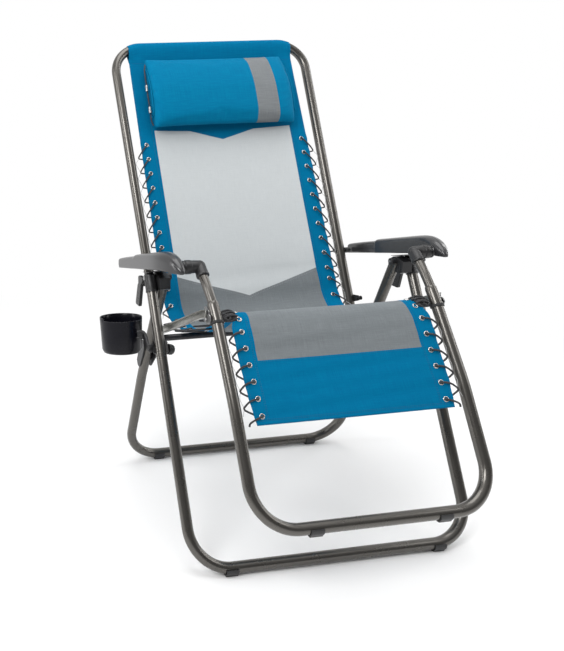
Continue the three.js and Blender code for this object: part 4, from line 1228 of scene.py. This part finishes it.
for side, sg in (("right", 1), ("left", -1)):
    # back: from each eyelet slanting down to a turn near the tube, then level, behind the hem, to the next eyelet
    stops, line_pts = [], []
    ey = EY_BACK + [EY_SEAT[0]]
    for k, s in enumerate(ey[:-1]):
        nxt = ey[k + 1]
        xe, xn = ey_x(s, False), ey_x(nxt, False)
        turn_s = nxt - 3.0 if k < 10 else (s + nxt) / 2
        xt = 257.0 if k < 9 else 255.0
        stops += [along(s, sg * xe, -2.5), along(s + 1.0, sg * (xe + 1.0), 3.2), along(s * 0.5 + turn_s * 0.5, sg * (xe * 0.42 + xt * 0.58), 3.8),
                  along(turn_s - 5, sg * (xt - 1.2), 1.0), along(turn_s, sg * xt, -0.5), along(turn_s + 1.5, sg * (xt - 5), -1.8), along(nxt - 0.5, sg * (xn + 7), -3.4)]
        tube_x = back_w(at(turn_s)[1]) - R - 0.3 if k < 10 else 262.0
        line_pts += [along(turn_s, sg * xt, 0), along(turn_s + 17, sg * (tube_x + 0.0), 2.5)]
    vs, fs, uv = lace_cord(stops)
    o = with_back(make("back_elastic_" + side, vs, fs, CORD, uv=uv))
    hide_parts("back_lace_" + side)
    vs, fs, uv = tube_data(resample(line_pts, 4), 0.6, 6)
    o = with_back(make("back_tie_line_" + side, vs, fs, LINE, uv=uv))

    # seat: between the seat's hem and the side rail
    stops = []
    for k, s in enumerate(EY_SEAT[:-1]):
        nxt = EY_SEAT[k + 1]
        xe, xn = ey_x(s, False), ey_x(nxt, False)
        y, z, n = at((s + nxt) / 2)
        turn = np.array([sg * 268.5, y, z + 1])
        stops += [along(s, sg * xe, 2.6), along(s * 0.7 + nxt * 0.3, sg * (xe * 0.55 + 120), 1.5), turn, along(s * 0.25 + nxt * 0.75, sg * (xn * 0.55 + 120), -1.5), along(nxt - 0.5, sg * xn, -2.6)]
    vs, fs, uv = lace_cord(stops)
    o = make("seat_elastic_" + side, vs, fs, CORD, uv=uv)
    stand(o, "seat", "elastic_cord")

    # calf: even V turns
    stops, line_pts = [], []
    ey = EY_CALF
    for k, s in enumerate(ey[:-1]):
        nxt = ey[k + 1]
        xe, xn = ey_x(s, True), ey_x(nxt, True)
        turn_s = s * 0.5 + nxt * 0.5
        xt = 240.5
        stops += [along(s, sg * xe, -2.4), along(s + 0.5, sg * (xe + 1), 3.0), along(s + 4, sg * (xe * 0.45 + xt * 0.55), 3.2), along(turn_s - 3, sg * (xt - 0.8), 1.0),
                  along(turn_s, sg * xt, 0), along(turn_s + 4, sg * (xt - 3), -1.0), along(nxt - 2, sg * (xn + 9), -3.2)]
        line_pts += [along(turn_s, sg * xt, 0), along(turn_s + 15, sg * (246.2), 0)]
    stops += [along(ey[-1], sg * ey_x(ey[-1], True), -2.4), along(ey[-1] + 1, sg * (ey_x(ey[-1], True) + 1), 3.0), along(ey[-1] + 6, sg * 222, 3.2), along(ey[-1] + 12, sg * 234, 0), along(ey[-1] + 19, sg * 236, -3)]
    vs, fs, uv = lace_cord(stops, 2.1)
    o = make("calf_elastic_" + side, vs, fs, CORD, uv=uv)
    stand(o, "footrest", "elastic_cord", "footrest_lace_" + side)
    vs, fs, uv = tube_data(resample(line_pts, 4), 0.6, 6)
    stand(make("calf_tie_line_" + side, vs, fs, LINE, uv=uv), "footrest", "elastic_cord")
    # the bunched turns and the knot at the knee
    parts = []
    for k, (da, dx, dn) in enumerate(((0, 0, 0), (3, 3, 2.2), (6, -1, -1.0), (9, 2, 2.8), (12, 4, 0.6), (15, 0, 3.2))):
        s = EY_HUMP[0] + da * 1.5
        loop = [along(s, sg * (210 + dx), 2.8 + dn), along(s - 2, sg * 222, 5.2 + dn), along(s + 1, sg * 236, 4.0 + dn), along(s + 5, sg * 242.5, 1.0), along(s + 8, sg * 235, -1.5 + dn), along(s + 7, sg * 222, 1.2), along(s + 5, sg * 212, 3.2 + dn)]
        parts.append(lace_cord(loop, 2.3))
    knot = [along(EY_HUMP[1] - 5 + 7 * math.cos(t), sg * (233 + 6 * math.sin(t * 1.5)), 3 + 3.4 * math.sin(2 * t)) for t in np.linspace(0, 4 * math.pi, 24)]
    parts.append(lace_cord(knot, 2.0, 2.0))
    vs, fs, uv = join_data(parts)
    o = with_knee(make("knee_knot_" + side, vs, fs, CORD, uv=uv))

# ---------------------------------------------------------------- headrest pillow
PX, P_LO, P_HI, P_T = 211.0, 916.0, 1112.0, 46.0     # half width, lowest and highest z on the back's plane, thickness


def plane_pt(x, up_z, out):
    y = back_y(up_z)
    return np.array([x, y + pn[0] * out, up_z + pn[1] * out])


def pillow_start():
    """A plain closed form, slightly smaller than the finished pillow."""
    nx, na = 60, 44
    vs, fs = [], []
    zc, zh = (P_LO + P_HI) / 2, (P_HI - P_LO) / 2
    for i in range(nx + 1):
        t = -1 + 2 * i / nx
        end = max(0.0, 1 - abs(t) ** 14)
        for k in range(na):
            a = k * 2 * math.pi / na
            c, s = math.cos(a), math.sin(a)
            u = math.copysign(abs(c) ** 0.8, c)
            v = math.copysign(abs(s) ** 0.72, s)
            half = P_T / 2 * (0.62 + 0.38 * end ** 0.5) * (1.08 - 0.5 * max(0.0, u) ** 1.4)
            vs.append(plane_pt(t * PX, zc + u * zh * (0.985 + 0.015 * end), half + 2.0 + v * half))
    for i in range(nx):
        for k in range(na):
            a, b = i * na + k, i * na + (k + 1) % na
            fs.append((a, b, b + na, a + na))
    fs.append(tuple(range(na))[::-1])
    fs.append(tuple(nx * na + k for k in range(na)))
    return vs, fs


def simulate(o, voxel=0.006, cap=0.006, pressure=4.0, frames_n=20):
    bpy.context.view_layer.objects.active = o
    rm = o.modifiers.new("remesh", "REMESH")
    rm.mode = "VOXEL"
    rm.voxel_size = voxel
    apply_all(o)
    rest = np.array([v.co for v in o.data.vertices], float)
    cl = o.modifiers.new("cloth", "CLOTH")
    st = cl.settings
    st.quality = 5
    st.mass = 0.3
    st.tension_stiffness = st.compression_stiffness = 12
    st.shear_stiffness = 6
    st.bending_stiffness = 0.6
    st.use_pressure = True
    st.uniform_pressure_force = pressure
    st.effector_weights.gravity = 0
    cl.point_cache.frame_start, cl.point_cache.frame_end = 1, frames_n
    sc = bpy.context.scene
    for f in range(1, frames_n + 1):
        sc.frame_set(f)
    dg = bpy.context.evaluated_depsgraph_get()
    ev = o.evaluated_get(dg)
    co = np.array([v.co for v in ev.data.vertices], float)
    o.modifiers.clear()
    mv = co - rest
    ln = np.linalg.norm(mv, axis=1)
    mv *= np.minimum(1, cap / np.maximum(ln, 1e-9))[:, None]
    new = rest + mv
    o.data.vertices.foreach_set("co", new.astype(np.float32).ravel())
    o.data.update()
    sc.frame_set(1)
    return o


vs, fs = pillow_start()
pillow = make("headrest_pillow_pad", vs, fs, [BLUE_PAD, GREY_BAND], smooth=None)
outward(pillow)
simulate(pillow)
sub = pillow.modifiers.new("fine", "SUBSURF")
sub.levels = sub.render_levels = 1
apply_all(pillow)
# flatten the back against the sling, and press soft wrinkles into the front
co = np.array([v.co for v in pillow.data.vertices], float)
loc = (co - np.array([X_MID, Y_BAR, 0])) * 1000
rel = loc[:, 1:] - top
upc, outc = rel @ pd, rel @ pn
fl = np.where(outc < 3.0, 3.0 - outc, 0.0)
upz = upc * pd[1] + TOP[1]
tt = (upz - P_LO) / (P_HI - P_LO)
wr = 0.35 * np.sin(loc[:, 0] / 17.0 + 2.2 * np.sin(upc / 31.0)) * np.exp(-((tt - 0.05) / 0.16) ** 2) + 0.5 * np.sin(loc[:, 0] / 9.5 + upc / 23.0) * np.exp(-((np.abs(loc[:, 0]) - 200) / 26) ** 2)
wr += 0.7 * np.sin(upc / 12.0 + loc[:, 0] / 60.0) * np.exp(-((np.abs(loc[:, 0]) - 205) / 20) ** 2)
push = np.where(outc > 8, wr, 0.0) + fl
loc[:, 1] += pn[0] * push
loc[:, 2] += pn[1] * push
new = loc / 1000 + np.array([X_MID, Y_BAR, 0])
pillow.data.vertices.foreach_set("co", new.astype(np.float32).ravel())
pillow.data.update()
# the grey band is cut into the mesh so that its edges are straight
BAND_X = (90.0, 153.5)
bm = bmesh.new()
bm.from_mesh(pillow.data)
for x in BAND_X:
    bmesh.ops.bisect_plane(bm, geom=bm.verts[:] + bm.edges[:] + bm.faces[:], plane_co=(X_MID + x / 1000, 0, 0), plane_no=(1, 0, 0))
for f in bm.faces:
    c = f.calc_center_median()
    f.material_index = 1 if BAND_X[0] / 1000 < c.x - X_MID < BAND_X[1] / 1000 else 0
    f.smooth = True
uvl = bm.loops.layers.uv.new("UVMap")
for f in bm.faces:
    for lp in f.loops:
        q = lp.vert.co
        yz = np.array([(q.y - Y_BAR) * 1000, q.z * 1000]) - top
        a, b = yz @ pd, yz @ pn
        ang = math.atan2(b - P_T / 2, (a + 110) * 0.35)
        lp[uvl].uv = (q.x, ang * 0.06)
bm.to_mesh(pillow.data)
bm.free()
stand(pillow, "headrest", "sling_fabric", "headrest_pillow")

# outline of the pad at a given x, found on the finished mesh
co = np.array([v.co for v in pillow.data.vertices], float)
loc = (co - np.array([X_MID, Y_BAR, 0])) * 1000
rel = loc[:, 1:] - top
upc, outc = rel @ pd, rel @ pn


def pad_ring(x, grow=0.3, n=72, width=7):
    """Points round the pad at x, from the mesh itself."""
    sel = np.abs(loc[:, 0] - x) < width
    a, b = upc[sel], outc[sel]
    ca, cb = (a.max() + a.min()) / 2, (b.max() + b.min()) / 2
    sa, sb = (a.max() - a.min()) / 2, (b.max() - b.min()) / 2
    th = np.arctan2((b - cb) / sb, (a - ca) / sa)
    rr = np.hypot((b - cb) / sb, (a - ca) / sa)
    out = []
    for k in range(n):
        t = -math.pi + 2 * math.pi * (k + 0.5) / n
        d = np.abs(np.angle(np.exp(1j * (th - t))))
        near = d < 0.14
        q = rr[near].mean() if near.any() else 1.0
        out.append((ca + (q * sa + grow) * math.cos(t), cb + (q * sb + grow) * math.sin(t)))
    return np.array(out)


def ring3(x, ring):
    return np.array([[x, *(top + pd * a + pn * b)] for a, b in ring])


parts = []
for x in (-PX * 0.985, PX * 0.985):
    rg = ring3(x, pad_ring(x, 0.6))
    parts.append(tube_data(np.vstack([rg, rg[:2]]), 1.5, 8))
vs, fs, uv = join_data(parts)
o = make("pillow_piping", vs, fs, BLUE_PAD, uv=uv)
stand(o, "headrest", "sling_fabric")
rows = []
for x in (BAND_X[0] + 2.2, BAND_X[1] - 2.2):
    rows.append(ring3(x, pad_ring(x, 0.35))[6:-6])
vs, fs, uv = stitches(rows, r=0.4)
stand(make("pillow_band_stitching", vs, fs, THREAD_GREY, uv=uv), "headrest", "grey_fabric")
rows = []
for x in (-PX * 0.95, PX * 0.95):
    rows.append(ring3(x, pad_ring(x, 0.35))[6:-6])
vs, fs, uv = stitches(rows, r=0.4)
stand(make("pillow_end_stitching", vs, fs, THREAD_BLUE, uv=uv), "headrest", "sling_fabric")

# elastic loops at both ends of the pillow; the left one carries two metal toggles
for side, sg, lift in (("right", 1, -19.0), ("left", -1, 0.0)):
    x = sg * (PX + 3.0)
    path = [plane_pt(sg * (PX - 3), 1092, 22 + lift * 0.6), plane_pt(x - sg * 0.6, 1070, 26 + lift), plane_pt(x + sg * 0.8, 1040, 29 + lift), plane_pt(x + sg * 1.4, 1000, 30 + lift), plane_pt(x + sg * 0.8, 960, 28 + lift), plane_pt(x - sg * 0.6, 938, 24 + lift), plane_pt(sg * (PX - 3), 926, 19 + lift * 0.6)]
    vs, fs, uv = tube_data(spline(path, 4), 1.7, 8)
    stand(make("pillow_elastic_" + side, vs, fs, CORD, uv=uv), "headrest", "elastic_cord")
    if side == "left":
        tog = []
        for z in (1023, 964):
            c = plane_pt(x + sg * 1.8, z, 30.5)
            ax = np.array([0, pd[0], pd[1]])
            prof = [(1.9, -9.5), (3.4, -9.0), (4.1, -7.2), (3.5, -2.0), (4.0, 0), (3.5, 2.0), (4.1, 7.2), (3.4, 9.0), (1.9, 9.5)]
            tog.append(lathe_data(prof, c, ax, 20))
        o = make("pillow_toggles_" + side, *join_data(tog)[:2], BOLT)
        stand(outward(o), "headrest", "eyelet_metal")

# ---------------------------------------------------------------- studio
floor_mat = Mat("studio_floor")
floor_mat.set(Base_Color=(0.9, 0.9, 0.9, 1), Roughness=0.7, Specular_IOR_Level=0.1)
fv = floor_mat.coord("Object")
fl_len = floor_mat.node("ShaderNodeVectorMath", operation="LENGTH")
floor_mat.link(fv, fl_len.inputs[0])
fr_ = floor_mat.node("ShaderNodeMapRange")
fr_.interpolation_type = "SMOOTHSTEP"
for k_, v_ in (("From Min", 0.5), ("From Max", 1.9), ("To Min", 0.0), ("To Max", 1.0)):
    fr_.inputs[k_].default_value = v_
floor_mat.link(fl_len.outputs["Value"], fr_.inputs["Value"])
em_ = floor_mat.node("ShaderNodeEmission")
em_.inputs["Color"].default_value = (1, 1, 1, 1)
mixs = floor_mat.node("ShaderNodeMixShader")
outn = next(x for x in floor_mat.t.nodes if x.type == "OUTPUT_MATERIAL")
floor_mat.link(fr_.outputs["Result"], mixs.inputs[0])
floor_mat.link(floor_mat.b.outputs[0], mixs.inputs[1])
floor_mat.link(em_.outputs[0], mixs.inputs[2])
floor_mat.link(mixs.outputs[0], outn.inputs["Surface"])
floor = bpy.data.objects.new("floor", bpy.data.meshes.new("floor"))
bm = bmesh.new()
bmesh.ops.create_grid(bm, x_segments=1, y_segments=1, size=14)
bm.to_mesh(floor.data)
bm.free()
floor.data.materials.append(floor_mat.m)
bpy.context.scene.collection.objects.link(floor)

world = bpy.data.worlds.new("studio")
bpy.context.scene.world = world
world.use_nodes = True
wt = world.node_tree
bg = wt.nodes["Background"]
lp = wt.nodes.new("ShaderNodeLightPath")
mixn = wt.nodes.new("ShaderNodeMix")
mixn.data_type = "RGBA"
mixn.inputs[7].default_value = (1, 1, 1, 1)
# lighting: a white sweep behind and above, a dim room in front
geo = wt.nodes.new("ShaderNodeTexCoord")
sepw = wt.nodes.new("ShaderNodeSeparateXYZ")
wt.links.new(geo.outputs["Generated"], sepw.inputs[0])
mr = wt.nodes.new("ShaderNodeMapRange")
mr.interpolation_type = "SMOOTHSTEP"
mr.inputs["From Min"].default_value = -0.35
mr.inputs["From Max"].default_value = 0.45
mr.inputs["To Min"].default_value = 0.14
mr.inputs["To Max"].default_value = 0.88
wt.links.new(sepw.outputs["Y"], mr.inputs["Value"])
mz = wt.nodes.new("ShaderNodeMapRange")
mz.interpolation_type = "SMOOTHSTEP"
mz.inputs["From Min"].default_value = 0.25
mz.inputs["From Max"].default_value = 0.9
mz.inputs["To Min"].default_value = 0.0
mz.inputs["To Max"].default_value = 0.62
wt.links.new(sepw.outputs["Z"], mz.inputs["Value"])
mxw = wt.nodes.new("ShaderNodeMath")
mxw.operation = "MAXIMUM"
wt.links.new(mr.outputs["Result"], mxw.inputs[0])
wt.links.new(mz.outputs["Result"], mxw.inputs[1])
wt.links.new(mxw.outputs[0], mixn.inputs[6])
wt.links.new(lp.outputs["Is Camera Ray"], mixn.inputs[0])
wt.links.new(mixn.outputs[2], bg.inputs["Color"])
bg.inputs["Strength"].default_value = 1.0


def area(name, loc, target, size, power, size_y=None):
    d = bpy.data.lights.new(name, "AREA")
    d.energy = power
    d.size = size
    if size_y:
        d.shape = "RECTANGLE"
        d.size_y = size_y
    o = bpy.data.objects.new(name, d)
    o.location = loc
    o.rotation_mode = "QUATERNION"
    o.rotation_quaternion = (Vector(target) - Vector(loc)).to_track_quat("-Z", "Y")
    bpy.context.scene.collection.objects.link(o)
    return o


area("key", (-2.3, -1.7, 2.7), (0, 0, 0.6), 1.3, 58)
area("fill", (2.7, -1.2, 2.0), (0, 0, 0.6), 0.9, 26, 2.2)
area("top", (0.0, 0.0, 3.3), (0, 0, 0.5), 2.2, 46)
area("strip_left", (-2.7, 0.3, 1.4), (0, 0, 0.6), 0.35, 20, 2.4)
area("strip_right", (2.5, 0.6, 1.5), (0, 0, 0.6), 0.35, 16, 2.4)

vs_ = bpy.context.scene.view_settings
vs_.view_transform = "Standard"
vs_.look = "None"
vs_.exposure = 0.0

# ---------------------------------------------------------------- camera
# A view camera: its lens is shifted off centre for the main picture, and centred again once it is moved round the chair.
cd = bpy.data.cameras.new("view_camera")
cam = bpy.data.objects.new("view_camera", cd)
bpy.context.scene.collection.objects.link(cam)
right = Vector((0.98992435, -0.13846902, -0.02959917))
upv = Vector((0.0549233, 0.18282098, 0.98161088))
fwd = Vector((0.13051135, 0.9733462, -0.18858412))
loc_c = Vector((X_MID - 0.910977, Y_BAR - 1.399240, 1.088970))
cam.matrix_world = Matrix(((right.x, upv.x, -fwd.x, loc_c.x), (right.y, upv.y, -fwd.y, loc_c.y), (right.z, upv.z, -fwd.z, loc_c.z), (0, 0, 0, 1)))
cam.rotation_mode = "XYZ"
cd.sensor_width = 36
cd.lens = 756.301878 * 36 / 651
for path, value in (("shift_x", (282 - 3.29) / 651), ("shift_y", (219.075 - 325.5) / 651)):
    d = cd.driver_add(path).driver
    d.type = "SCRIPTED"
    v = d.variables.new()
    v.name = "m"
    v.type = "SINGLE_PROP"
    v.targets[0].id_type = "OBJECT"
    v.targets[0].id = cam
    v.targets[0].data_path = "rotation_mode"
    d.expression = f"{value:.5f} * min(m, 1)"
cd.clip_start, cd.clip_end = 0.05, 60
bpy.context.scene.camera = cam
